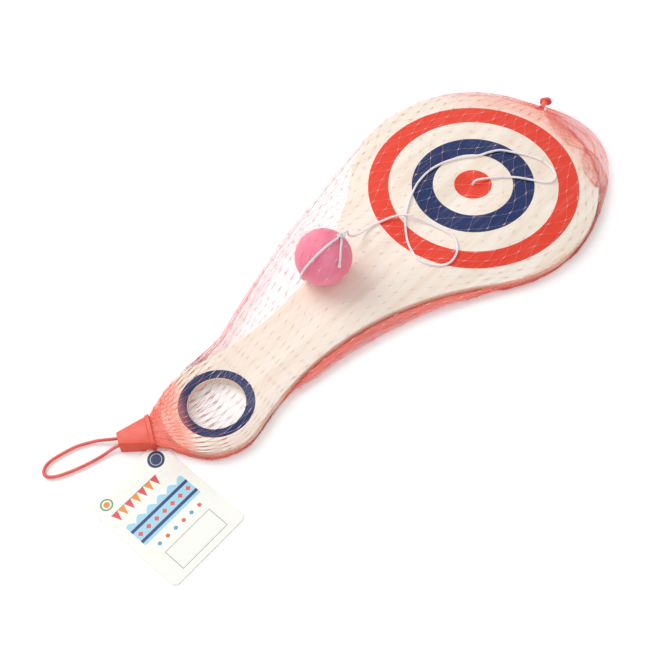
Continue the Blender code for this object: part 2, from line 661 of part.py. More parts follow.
def make_hang_loop(parts, plastic_cord):
    """The loop outside the clip, with ends rounded about its pivot, and its closed root inside."""
    place = clip_place()
    out = place.to_3x3() @ Vector((1, 0, 0))
    side = Vector((0, LOOP_SPREAD / 2, 0))
    near = place @ (loop_pivot() + side)
    far = place @ (loop_pivot() - side)
    lying = [Vector((x, y, LOOP_RADIUS + GAP + rise)) for x, y, rise in LOOP_ROUTE]
    route = [near, near + out * LOOP_DIAMETER] + lying + [far + out * LOOP_DIAMETER, far]
    points = smooth_route(route, 2 * LOOP_DIAMETER)
    start = [near - out * LOOP_RADIUS * math.cos(angle) for angle in LOOP_END_ROUNDING]
    end = [far - out * LOOP_RADIUS * math.cos(angle) for angle in reversed(LOOP_END_ROUNDING)]
    narrow = [math.sin(angle) for angle in LOOP_END_ROUNDING]
    swell = narrow + [1.0] * len(points) + narrow[::-1]
    tube("hang_loop", start + points + end, LOOP_DIAMETER, parts, plastic_cord, swell)

    bend = arc((CLIP_LENGTH - LOOP_ROOT_DEPTH, 0), LOOP_SPREAD / 2, math.pi / 2, math.pi * 3 / 2, 13)
    root = [Vector((CLIP_LENGTH, LOOP_SPREAD / 2))] + bend + [Vector((CLIP_LENGTH, -LOOP_SPREAD / 2))]
    points = [place @ point for point in ring_at(root, LOOP_HEIGHT)]
    tube("loop_root", points, LOOP_DIAMETER, parts, plastic_cord)


def clip_side():
    """A point on the clip's side nearest the tag, and the way out from that side, in the clip's frame."""
    along = Vector((CLIP_LENGTH, clip_half_width(CLIP_LENGTH) - clip_half_width(0))).normalized()
    return Vector((0, clip_half_width(0), 0)), Vector((-along.y, along.x, 0))


def tag_place():
    return Matrix.Translation(TAG_CENTRE) @ Matrix.Rotation(TAG_ANGLE, 4, "Z")


def tag_reach():
    """How far from the clip's mouth the tag's top edge crosses the clip's side."""
    to_clip = clip_place().inverted() @ tag_place()
    corner = to_clip @ Vector((TAG_WIDTH / 2, TAG_HEIGHT / 2, 0))
    top_edge = to_clip.to_3x3() @ Vector((-1, 0, 0))
    point, outward = clip_side()
    return (corner + top_edge * ((point - corner).dot(outward) / top_edge.dot(outward))).x


def tag_outline():
    half_width = TAG_WIDTH / 2 - TAG_CORNER_RADIUS
    half_height = TAG_HEIGHT / 2 - TAG_CORNER_RADIUS
    outline = []
    for x, y, quarter in ((1, 1, 0), (-1, 1, 1), (-1, -1, 2), (1, -1, 3)):
        start = quarter * math.pi / 2
        outline += arc((x * half_width, y * half_height), TAG_CORNER_RADIUS, start, start + math.pi / 2, 5)
    return outline


def tag_sheet(name, outside, distance):
    """The card outside or inside the line where it leaves the clip. Outside, it slopes to the surface."""
    bm = bmesh.new()
    bm.faces.new([bm.verts.new(tag_place() @ point) for point in ring_at(tag_outline(), 0)])
    point, outward = clip_side()
    line = clip_place() @ point
    way = clip_place().to_3x3() @ outward
    steps = TAG_SLOPE_STEPS if outside else 0
    for k in range(steps + 1):
        bmesh.ops.bisect_plane(
            bm, geom=bm.verts[:] + bm.edges[:] + bm.faces[:], plane_no=way,
            plane_co=line + way * (distance + TAG_SLOPE_LENGTH * k / TAG_SLOPE_STEPS),
            clear_inner=outside and k == 0, clear_outer=not outside,
        )
    for vert in bm.verts:
        share = ((vert.co - line).dot(way) - distance) / TAG_SLOPE_LENGTH if outside else 0.0
        share = min(max(share, 0.0), 1.0)
        vert.co.z = (CLIP_PLATE + GAP) * (1 - share**2 * (3 - 2 * share))
    bmesh.ops.triangulate(bm, faces=bm.faces)
    for face in bm.faces:
        if face.normal.z < 0:
            face.normal_flip()
    mesh = bpy.data.meshes.new(name)
    bm.to_mesh(mesh)
    bm.free()
    return mesh


def make_tag(parts, card):
    """The card tag on the surface, and its corner held between the clip's plate and cap."""
    for name, outside, distance in (("hang_tag", True, 2 * GAP), ("tag_corner", False, GAP)):
        obj = add_object(name, tag_sheet(name, outside, distance), parts, card)
        wall = obj.modifiers.new("thickness", "SOLIDIFY")
        wall.thickness = TAG_THICKNESS
        wall.offset = 1.0


def add_pivot(name, matrix, pieces, collection, parent=None):
    """An empty with its Z on a joint's axis, which carries the pieces that move with it where they are."""
    pivot = bpy.data.objects.new(name, None)
    collection.objects.link(pivot)
    pivot.matrix_world = matrix
    if parent:
        pivot.parent = parent
        pivot.matrix_parent_inverse = parent.matrix_world.inverted()
    bpy.context.view_layer.update()
    for piece in pieces:
        obj = bpy.data.objects[piece]
        obj.parent = pivot
        obj.matrix_parent_inverse = pivot.matrix_world.inverted()
    return pivot


def add_pivots(parts):
    bpy.context.view_layer.update()
    z_to_x = Matrix.Rotation(math.pi / 2, 4, "Y")
    ball = ("ball_cord_loop", "ball_knot", "cord_tail", "rubber_ball")
    add_pivot("ball_slide", Matrix.Translation(BALL_CENTRE) @ z_to_x, ball, parts)

    place = clip_place()
    z_to_minus_y = Matrix.Rotation(math.pi / 2, 4, "X")
    neck_length = (CLIP_MOUTH - Vector((-HANDLE_CENTRE, 0, 0))).length - SLEEVE_END_RADIUS
    middle = Matrix.Translation((-neck_length / 2, 0, CLIP_HEIGHT / 2))
    held = ("clip_plate", "net_bunch", "loop_root", "tag_corner")
    neck = add_pivot("neck_bend", place @ middle @ z_to_minus_y, held, parts)
    at_loop = Matrix.Translation(loop_pivot())
    add_pivot("loop_swing", place @ at_loop @ z_to_minus_y, ("hang_loop",), parts, neck)

    point, outward = clip_side()
    taper = Matrix.Rotation(math.atan2(outward.y, outward.x) - math.pi / 2, 4, "Z")
    card_middle = Vector((0, 0, CLIP_PLATE + GAP + TAG_THICKNESS / 2))
    seam = Matrix.Translation(point + outward * 2 * GAP + card_middle)
    add_pivot("tag_flip", place @ seam @ taper @ z_to_x, ("hang_tag",), parts, neck)
    far_side = Matrix.Translation((point.x, -point.y, CLIP_PLATE + GAP / 2))
    add_pivot("clip_open", place @ far_side @ taper.inverted() @ z_to_x, ("clip_cap",), parts, neck)


def main():
    clear_scene()
    parts = new_collection("paddle_ball")
    cutters = new_collection("cutters")
    wood = new_material("plywood", (0.82, 0.68, 0.50), 0.55)
    rubber = new_material("pink_rubber", (0.80, 0.13, 0.21), 0.6)
    elastic = new_material("white_elastic", (0.88, 0.86, 0.86), 0.7)
    netting = new_material("red_netting", (0.82, 0.12, 0.09), 0.4)
    plastic = new_material("orange_red_plastic", (0.85, 0.11, 0.05), 0.35)
    plastic_cord = new_material("red_plastic_cord", (0.70, 0.09, 0.08), 0.35)
    card = new_material("white_card", (0.86, 0.86, 0.82), 0.5)

    make_blade(parts, cutters, wood)
    make_ball(parts, cutters, rubber)
    make_ball_tie(parts, elastic)
    make_elastic(parts, elastic)
    make_net_sleeve(parts, cutters, netting)
    make_net_end(parts, netting)
    make_clip(parts, cutters, plastic)
    make_gathered_net(parts, cutters, netting)
    make_hang_loop(parts, plastic_cord)
    make_tag(parts, card)
    add_pivots(parts)


main()
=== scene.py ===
"""The looks of a wooden paddle ball in its net sleeve, with its clip, hang loop and card tag.

Units are metres and +Z is up. The origin is under the middle of the painted target, on the
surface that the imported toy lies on. +X runs along the paddle from the handle to the head.
"""

import math

import bmesh
import bpy
import numpy as np
from mathutils import Matrix, Vector, noise


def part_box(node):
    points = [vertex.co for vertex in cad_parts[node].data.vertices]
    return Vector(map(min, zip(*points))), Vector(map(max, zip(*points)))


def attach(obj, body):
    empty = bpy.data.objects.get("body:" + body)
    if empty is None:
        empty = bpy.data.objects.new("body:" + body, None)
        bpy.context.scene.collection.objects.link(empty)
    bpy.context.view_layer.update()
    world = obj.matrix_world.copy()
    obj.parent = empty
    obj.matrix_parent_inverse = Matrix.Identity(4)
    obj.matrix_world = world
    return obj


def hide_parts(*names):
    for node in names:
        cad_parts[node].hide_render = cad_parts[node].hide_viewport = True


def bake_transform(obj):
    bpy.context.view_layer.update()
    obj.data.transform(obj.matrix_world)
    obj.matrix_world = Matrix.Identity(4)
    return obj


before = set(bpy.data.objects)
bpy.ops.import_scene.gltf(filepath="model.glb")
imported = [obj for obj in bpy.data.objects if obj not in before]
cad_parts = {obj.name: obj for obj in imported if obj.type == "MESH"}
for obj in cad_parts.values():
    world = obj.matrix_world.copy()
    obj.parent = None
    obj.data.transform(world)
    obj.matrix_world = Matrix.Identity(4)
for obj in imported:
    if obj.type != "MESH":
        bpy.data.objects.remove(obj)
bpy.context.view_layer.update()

# The camera, and the way that it is turned about its own line of sight
CAMERA_PLACE = Vector((-0.33136, -0.25830, 0.49283))
CAMERA_AIM = Vector((-0.11814, -0.00851, 0.0059))
CAMERA_ROLL = math.radians(-5.486)
CAMERA_LENS = 65.17

# How much whiter than it is lit the floor looks to the camera, near the toy and far away from it, and
# how strongly the white room lights the toy
FLOOR_LIFT = 0.14
FAR_FLOOR_LIFT = 0.75
FAR_FLOOR = (0.45, 1.4)
ROOM_LIGHT = 0.56

# The paddle. Its plywood's two glue lines lie at shares of its thickness.
BLADE_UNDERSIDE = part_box("paddle_blade")[0].z
BLADE_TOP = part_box("paddle_blade")[1].z
HEAD_RADIUS = 0.066
HANDLE_RADIUS = 0.025
HANDLE_CENTRE = 0.187
NECK_WIDTH = 0.035
FINGER_HOLE_CENTRE = 0.185
BLADE_EASING = 0.0005
GLUE_LINES = (0.3, 0.7)
GLUE_LINE_HALF = 0.00008

# The painted rings' radii, and how soft their edges are
BULLSEYE = 0.0100
NAVY_RING = (0.0213, 0.0326)
RED_RING = (0.0451, 0.0560)
HANDLE_RING = 0.0187
PRINT_EDGE = 0.00012

# The ball, and the way that its bore points
BALL_RADIUS = 0.0145
BALL_CENTRE = Vector((-0.096, 0.0157, 0.0207))
BORE_DIRECTION = Vector((0.503, -0.284, 0.816)).normalized()
BORE_RADIUS = 0.0010

# The elastic cord
GAP = 0.0003
CORD_DIAMETER = 0.0012
CORD_SPACING = 0.7 * CORD_DIAMETER
CORD_ON_BLADE = BLADE_TOP + GAP + CORD_DIAMETER / 2
CORD_ON_BALL = BALL_RADIUS + GAP + CORD_DIAMETER / 2
BACK_KNOT_RADIUS = 0.0017
BACK_KNOT_HEIGHT = 0.0022
BALL_KNOT_RADIUS = 0.0019
KNOT_CENTRE = BALL_CENTRE + BORE_DIRECTION * (BALL_RADIUS + GAP + BALL_KNOT_RADIUS)
KNOT_CORE = 0.6 * BALL_KNOT_RADIUS

# Its way round the ball, in degrees from the knot and in its own diameters over where it lies on the
# ball, and its cut end's way over the ball
LOOP_PLANE_NORMAL = Vector((0.020, 0.948, 0.318)).normalized()
LOOP_TURN = [
    (180, 0.5), (176, 1.4), (170, 1.2), (163, 0.25), *((turned, 0.0) for turned in range(152, 19, -12)),
    (14, 0.0), (6, 0.8),
]
TAIL_DIRECTIONS = [(0.42, -0.45, 0.79), (0.26, -0.58, 0.775), (0.04, -0.765, 0.643), (-0.16, -0.898, 0.411)]
TAIL_FLARE = [1.15, 1.4, 1.55]

# The clip, from the middle of its wide mouth
CLIP_MOUTH = Vector((-0.2157, 0.0120, 0.0))
CLIP_ANGLE = math.radians(151.5)
CLIP_FRAME = Matrix.Translation(CLIP_MOUTH) @ Matrix.Rotation(CLIP_ANGLE, 4, "Z")
CLIP_LENGTH = 0.0165
CLIP_MOUTH_WIDTH = 0.0180
CLIP_END_WIDTH = 0.0086
CLIP_HEIGHT = 0.0064
CLIP_WALL = 0.0011
CLIP_PLATE = 0.0009
CLIP_DRAFT = 0.0009
CLIP_PAST = 0.0016
CLIP_LIP = 0.0018
CLIP_LIP_RISE = 0.0004

# The hang loop
LOOP_DIAMETER = 0.0016
LOOP_SPREAD = 0.0040
LOOP_HEIGHT = CLIP_PLATE + GAP + LOOP_DIAMETER / 2 + 0.0008

# The card tag
TAG_WIDTH = 0.045
TAG_HEIGHT = 0.059
TAG_THICKNESS = 0.0004
TAG_CENTRE = Vector((-0.2378, -0.0228, 0.0))
TAG_ANGLE = math.radians(3)

# The elastic's route: x, y, and how high its middle is over where it lies on the blade, if it is
CORD_ROUTE = [
    (0.0, 0.0, -0.0001), (0.0012, -0.0006, 0.0015), (0.0025, -0.0012, 0.0017), (0.0044, -0.00205, 0.0012),
    (0.0077, -0.0037, 0.0004), (0.0126, -0.0074), (0.0172, -0.0125), (0.0199, -0.0164), (0.023, -0.022),
    (0.0258, -0.0272), (0.0297, -0.0302), (0.0338, -0.0286), (0.0364, -0.0232), (0.0368, -0.0159),
    (0.035, -0.0094), (0.0321, -0.0034), (0.028, 0.0042), (0.023, 0.0078), (0.0165, 0.011), (0.0098, 0.0164),
    (0.0012, 0.021), (-0.0085, 0.0231), (-0.0187, 0.0221), (-0.0268, 0.0192), (-0.0344, 0.0153),
    (-0.0413, 0.0108), (-0.0466, 0.0057), (-0.0514, 0.0002), (-0.055, -0.0059), (-0.057, -0.0122),
    (-0.0557, -0.0184), (-0.0523, -0.0237), (-0.0478, -0.0261), (-0.0429, -0.0254), (-0.0385, -0.023),
    (-0.0351, -0.0188), (-0.0338, -0.0145), (-0.0344, -0.009), (-0.036, -0.0019, 0.0004),
    (-0.0381, 0.0052, 0.0013), (-0.041, 0.0107, 0.0017), (-0.0452, 0.0146, 0.0012),
    (-0.0501, 0.0173, 0.0003), (-0.056, 0.0193), (-0.0622, 0.0198, 0.0006),
]

# Its last stretch, up to the ball's knot, from the ball's centre in ball radii
RISE_TO_KNOT = [
    (1.903, 0.228, -0.724), (1.517, 0.117, -0.352), (1.221, -0.021, 0.131), (1.030, -0.170, 0.620),
]

# The hang loop's route over the surface, in the same way
LOOP_ROUTE = [
    (-0.235, 0.0197, 0.0007), (-0.241, 0.0209), (-0.2487, 0.0228), (-0.2557, 0.0252), (-0.2617, 0.0281),
    (-0.2648, 0.0311), (-0.2646, 0.0341), (-0.2622, 0.0359), (-0.2588, 0.0365), (-0.2536, 0.0358),
    (-0.2457, 0.0338), (-0.2398, 0.0308), (-0.236, 0.0279, 0.0007),
]

# The netting: a tube of diamond cells, each side of a cell this long. Most of its cells are spread over
# its top and its underside. The others are crowded into the folds along its two sides.
NET_CELL_SIDE = 0.0089
NET_TOP_CELLS = 18
NET_RIGHT_CELLS = 26
NET_LEFT_CELLS = 5
NET_FOLDED_CELL = 0.0010
NET_CROWDING = 0.25
NET_EDGE_HEIGHT = 0.0035
NET_ON_FLOOR = 0.00035
NET_ON_TAG = 0.0019
NET_LIFT = 0.00025

# Its strands: their radius, and how it grows at joints, where they are slack, and between four distances
# from the clip, how far they swing, in cells, and from which growth on they have the joints' colour
NET_STRAND_RADIUS = 0.000032
NET_JOINT_SWELL = 3.2
NET_SLACK_SWELL = 2.0
NET_DRAWN_IN = (0.010, 0.022, 0.028, 0.048)
NET_DRAWN_IN_SWELL = 1.1
NET_POINTS_PER_ROW = 6
NET_SWING = 0.235
SWOLLEN = 2.7
RIGHT_SLACK = 0.7
LEFT_SLACK = 0.3

# The side folds' crumples, those within these distances of the clip, and the netting's half width
# where it is gathered, over the table's last rows
FOLD_CRUMPLE = 0.0004
CLIP_CRUMPLE = 0.0006
NEAR_CLIP = (0.004, 0.022)
GATHER_RADIUS = 0.0014
GATHER_ROWS = 40

# Stations along the netting, from its mouth to the widest part of the head. Each has its left edge,
# its right edge, and how deep the folds reach in from the left and from the right.
NET_STATIONS = [
    (-0.2085, 0.0208, -0.2154, -0.001, 0.009, 0.01), (-0.2025, 0.0229, -0.2114, -0.0103, 0.008, 0.011),
    (-0.195, 0.025, -0.2039, -0.0201, 0.007, 0.011), (-0.184, 0.0267, -0.1909, -0.026, 0.0055, 0.011),
    (-0.171, 0.0275, -0.1755, -0.0236, 0.0035, 0.01), (-0.1586, 0.0285, -0.16, -0.0202, 0.0028, 0.008),
    (-0.14, 0.035, -0.14, -0.0226, 0.0026, 0.0065), (-0.118, 0.042, -0.118, -0.0262, 0.0026, 0.008),
    (-0.094, 0.0495, -0.094, -0.0318, 0.0028, 0.0092), (-0.07, 0.055, -0.072, -0.039, 0.0028, 0.0085),
    (-0.045, 0.0606, -0.05, -0.0492, 0.0025, 0.0055), (-0.02, 0.0658, -0.024, -0.0628, 0.002, 0.003),
]

# From there the two edges run round the head's rim to the gather. Each station has their distances from
# the head's middle, left and right, and the depths of their folds.
RIM_STATIONS = [
    (0.0685, 0.0669, 0.002, 0.0025), (0.0686, 0.067, 0.0024, 0.003), (0.069, 0.0674, 0.003, 0.004),
    (0.0695, 0.0684, 0.0038, 0.006), (0.07, 0.0702, 0.0046, 0.0095), (0.0704, 0.073, 0.0054, 0.013),
    (0.0705, 0.0758, 0.006, 0.0155), (0.0704, 0.0772, 0.0064, 0.017), (0.0702, 0.077, 0.0066, 0.0175),
    (0.0697, 0.0748, 0.0062, 0.016), (0.0692, 0.0705, 0.005, 0.012),
]
GATHER = Vector((0.0660, 0.0076, 0.0078))
GATHER_TIP = Vector((0.0713, 0.0091, 0.0068))
SEAL_CENTRE = Vector((0.0724, 0.0093, 0.0071))
SEAL_LENGTHWAYS = Vector((0.25, -0.76, 0.60)).normalized()

# Nearer the clip than this the folds lie under the paddle, and past it they lie over the head's rim
FOLDS_TUCKED_BEFORE = 0.042

# How closely the layers of netting lie on each other: x and the share of light that one layer stops, down
# each side of the paddle, then that share at the clip and over the head's rim, with the distances from
# the clip, from the gather and from the head's middle between which it changes
RIGHT_DENSITY = [
    (-0.2, 0.34), (-0.185, 0.12), (-0.165, 0.1), (-0.145, 0.46), (-0.04, 0.46), (0.005, 0.08), (0.02, 0.0),
    (0.04, 0.02), (0.05, 0.07), (0.06, 0.1), (0.075, 0.15),
]
LEFT_DENSITY = [
    (-0.2, 0.3), (-0.185, 0.14), (-0.16, 0.32), (-0.125, 0.28), (-0.105, 0.02), (0.02, 0.015), (0.04, 0.16),
    (0.07, 0.18),
]
NECK_DENSITY = 0.44
NECK_SIDE_DENSITY = 0.38
NECK_DENSE = (0.0110, 0.0208)
RIM_DENSITY = 0.26
RIM_DENSE = (0.010, 0.070)
OVER_RIM = (0.0535, 0.0610)

# The rows of the netting's table that films of crowded netting start from or go on to
NECK_FILM_TO = 150
FOLD_FILMS_FROM = 40
RIM_FILM_FROM = 340

# A painted glow on crowded netting, standing in for the light that comes through and between its strands
NETTING_PAINTED_GLOW = (255, 118, 98)

# The netting over the ball is cut into this many sectors round the ball
BALL_SECTORS = 8

# The plane across the netting where its pieces at the clip are cut off, facing each way
NECK_LINE = CLIP_FRAME @ Vector((-0.0050, 0, 0))
INTO_CLIP = (NECK_LINE, Vector((math.cos(CLIP_ANGLE), math.sin(CLIP_ANGLE), 0)))
OUT_OF_CLIP = (NECK_LINE, -INTO_CLIP[1])


def screen_colour(colour):
    """Scene-linear red, green, blue and 1, from a screen's red, green and blue from 0 to 255."""
    shares = [value / 255 for value in colour]
    return (*(s / 12.92 if s <= 0.04045 else ((s + 0.055) / 1.055) ** 2.4 for s in shares), 1.0)


def add_node(tree, kind, **settings):
    node = tree.nodes.new(kind)
    for key, value in settings.items():
        setattr(node, key, value)
    return node


def feed(node, sources):
    """Links a node's inputs to patterns, or sets them to values."""
    for name, source in sources.items():
        if isinstance(source, Pattern):
            source.tree.links.new(source.socket, node.inputs[name])
        else:
            node.inputs[name].default_value = source


class Pattern:
    """A number, place or colour that a material's nodes work out over a piece."""

    def __init__(self, tree, socket):
        self.tree, self.socket = tree, socket

    def maths(self, operation, *others, clamp=False):
        node = add_node(self.tree, "ShaderNodeMath", operation=operation, use_clamp=clamp)
        feed(node, dict(enumerate((self, *others))))
        return Pattern(self.tree, node.outputs[0])

    def __add__(self, other):
        return self.maths("ADD", other)

    def __sub__(self, other):
        return self.maths("SUBTRACT", other)

    def __mul__(self, other):
        return self.maths("MULTIPLY", other)

    def ramp(self, low, high, to_low=0.0, to_high=1.0):
        """The number mapped smoothly from one range to another, and held at its ends."""
        node = add_node(self.tree, "ShaderNodeMapRange", interpolation_type="SMOOTHSTEP")
        feed(node, {"Value": self, "From Min": low, "From Max": high, "To Min": to_low, "To Max": to_high})
        return Pattern(self.tree, node.outputs["Result"])

    def between(self, low, high, soft):
        """1 where the number lies between two others, with soft edges."""
        return self.ramp(low - soft, low + soft) * self.ramp(high - soft, high + soft, 1.0, 0.0)

    def mix(self, first, second):
        """The first colour where the number is 0, and the second where it is 1."""
        node = add_node(self.tree, "ShaderNodeMix", data_type="RGBA")
        a, b = (k for k, socket in enumerate(node.inputs) if socket.type == "RGBA")
        first, second = (c if isinstance(c, Pattern) else screen_colour(c) for c in (first, second))
        feed(node, {"Factor": self, a: first, b: second})
        return Pattern(self.tree, next(socket for socket in node.outputs if socket.type == "RGBA"))

    def split(self):
        """A place's x, y and z."""
        node = add_node(self.tree, "ShaderNodeSeparateXYZ")
        feed(node, {0: self})
        return [Pattern(self.tree, socket) for socket in node.outputs]


class Finish:
    """A material, with its patterns."""

    def __init__(self, name, colour, roughness):
        self.material = bpy.data.materials.new(name)
        self.material.use_nodes = True
        self.tree = self.material.node_tree
        self.set({"Base Color": screen_colour(colour), "Roughness": roughness})

    def set(self, values):
        """Sets or links inputs of the material's shader."""
        feed(self.tree.nodes["Principled BSDF"], values)

    def place(self, scale=1, location=(0, 0, 0), angle=0.0, output="Object"):
        """A place on the piece, scaled, turned about Z and moved."""
        place = Pattern(self.tree, add_node(self.tree, "ShaderNodeTexCoord").outputs[output])
        node = add_node(self.tree, "ShaderNodeMapping", vector_type="POINT")
        scale = scale if isinstance(scale, tuple) else (scale,) * 3
        feed(node, {"Vector": place, "Location": location, "Rotation": (0, 0, angle), "Scale": scale})
        return Pattern(self.tree, node.outputs["Vector"])

    def grain(self, scale, detail=4.0, distortion=0.0, output="Object"):
        """Noise with about this many grains to a metre, or to the length of the UV map."""
        node = add_node(self.tree, "ShaderNodeTexNoise")
        place = self.place(scale, output=output)
        feed(node, {"Vector": place, "Scale": 1.0, "Detail": detail, "Distortion": distortion})
        return Pattern(self.tree, node.outputs["Fac"])

    def bump(self, height, distance):
        node = add_node(self.tree, "ShaderNodeBump")
        feed(node, {"Distance": distance, "Strength": 1.0, "Height": height})
        self.set({"Normal": Pattern(self.tree, node.outputs["Normal"])})


def distance(x, y):
    """The distance of two patterns from 0, 0."""
    return (x * x + y * y).maths("SQRT")


def paddle_wood():
    """Pale birch ply: grain along X, three plies on its edge, and the printed rings on its top."""
    birch = Finish("birch_ply", (250, 236, 219), 0.55)
    fine = birch.grain((9.6, 176, 96), 6.0, 0.4)
    wood = fine.ramp(0.35, 0.75).mix((252, 242, 229), (243, 227, 209))
    wood = birch.grain((9, 40, 40), 3.0, 0.8).ramp(0.45, 0.75, 0.0, 0.3).mix(wood, (248, 226, 202))

    x, y, z = birch.place().split()
    lines = [BLADE_UNDERSIDE + (BLADE_TOP - BLADE_UNDERSIDE) * share for share in GLUE_LINES]
    wood = z.between(*lines, GLUE_LINE_HALF).mix(wood, (240, 216, 190))
    for line in lines:
        glue = z.between(line - GLUE_LINE_HALF, line + GLUE_LINE_HALF, 0.00006)
        wood = glue.mix(wood, (206, 172, 138))

    wander = birch.grain(900, 2.0).ramp(0.3, 0.7, -0.00004, 0.00004)
    from_target = distance(x, y) + wander
    from_finger_hole = distance(x + FINGER_HOLE_CENTRE, y) + wander
    worn = birch.grain((60, 700, 60), 5.0).ramp(0.3, 0.5, 0.95, 1.0)
    ink = z.ramp(BLADE_TOP - 0.00035, BLADE_TOP - 0.0002) * worn
    red = from_target.between(*RED_RING, PRINT_EDGE)
    red += from_target.ramp(BULLSEYE - 0.0001, BULLSEYE + 0.0001, 1.0, 0.0)
    navy = from_target.between(*NAVY_RING, PRINT_EDGE)
    navy += from_finger_hole.ramp(HANDLE_RING - 0.0001, HANDLE_RING, 1.0, 0.0)
    birch.set({
        "Base Color": (navy * ink).mix((red * ink).mix(wood, (234, 66, 44)), (22, 44, 94)),
        "Roughness": ((red + navy) * ink).ramp(0.0, 1.0, 0.6, 0.42),
        "Specular IOR Level": 0.3,
    })
    birch.bump(fine, 0.00006)
    return birch.material


def pink_rubber():
    rubber = Finish("pink_sponge_rubber", (233, 118, 146), 0.62)
    specks = rubber.grain(1400, 3.0)
    clouds = rubber.grain(90, 3.0).ramp(0.3, 0.7).mix((250, 145, 170), (242, 122, 151))
    colour = specks.ramp(0.62, 0.75, 0.0, 0.3).mix(clouds, (212, 84, 118))
    rubber.set({"Base Color": colour, "Sheen Weight": 0.15})
    rubber.bump(specks, 0.00008)
    return rubber.material


def white_elastic(length):
    """Braided white elastic. Its UV runs along the cord's length, and round it."""
    elastic = Finish("white_elastic", (252, 249, 250), 0.7)
    node = add_node(elastic.tree, "ShaderNodeTexWave", wave_type="BANDS", bands_direction="DIAGONAL")
    feed(node, {"Vector": elastic.place((length / CORD_DIAMETER, 4, 1), output="UV"), "Scale": 1.0})
    braid = Pattern(elastic.tree, node.outputs["Fac"])
    # The colour is darker in the braid's grooves, where its bump is low: painted shade
    elastic.set({"Base Color": braid.ramp(0.0, 0.5).mix((240, 234, 238), (255, 252, 253))})
    elastic.bump(braid, 0.00005)
    return elastic.material


def red_netting(name, colour, deep, painted_glow=0.0):
    """Thin extruded netting. Where its strands crowd they get a painted glow, standing in for the light that
    comes through them.
    """
    netting = Finish(name, colour, 0.38)
    netting.set({
        "Base Color": netting.grain(120, 3.0).ramp(0.3, 0.7).mix(colour, deep),
        "Emission Color": screen_colour(NETTING_PAINTED_GLOW), "Emission Strength": painted_glow,
    })
    return netting.material


def film_netting(name, rows, cells):
    """Layers of netting so close that they look like one film, streaked along its strands. The sheet's
    closeness attribute is the share of light that one layer stops."""
    film = Finish(name, (250, 150, 132), 0.42)
    streaks = film.grain((rows * 1.3, cells * 2.2, 1), 4.0, 0.6, "UV")
    node = add_node(film.tree, "ShaderNodeAttribute", attribute_name="closeness")
    closeness = Pattern(film.tree, node.outputs["Fac"])
    # Its emission is a painted glow, standing in for the light that comes through the crowded layers
    film.set({
        "Base Color": streaks.ramp(0.35, 0.65).mix((255, 172, 156), (247, 128, 112)),
        "Alpha": closeness.maths("MULTIPLY", streaks.ramp(0.3, 0.62, 0.6, 1.3), clamp=True),
        "Emission Color": screen_colour(NETTING_PAINTED_GLOW), "Emission Strength": 0.13,
    })
    return film.material


def orange_red_plastic():
    plastic = Finish("orange_red_plastic", (240, 98, 72), 0.34)
    plastic.set({
        "Base Color": plastic.grain(160).ramp(0.3, 0.7).mix((232, 86, 62), (224, 72, 46)),
        "Subsurface Weight": 0.15, "Subsurface Radius": (0.002, 0.0008, 0.0005),
    })
    plastic.bump(plastic.grain(1800, 2.0), 0.00002)
    return plastic.material


def red_loop_plastic(length):
    plastic = Finish("red_loop_plastic", (226, 92, 84), 0.32)
    plastic.set({"Base Color": plastic.grain(140, 3.0).ramp(0.3, 0.7).mix((232, 104, 94), (214, 78, 72))})
    plastic.bump(plastic.grain((length / 0.01, 9, 1), 3.0, output="UV"), 0.00004)
    return plastic.material


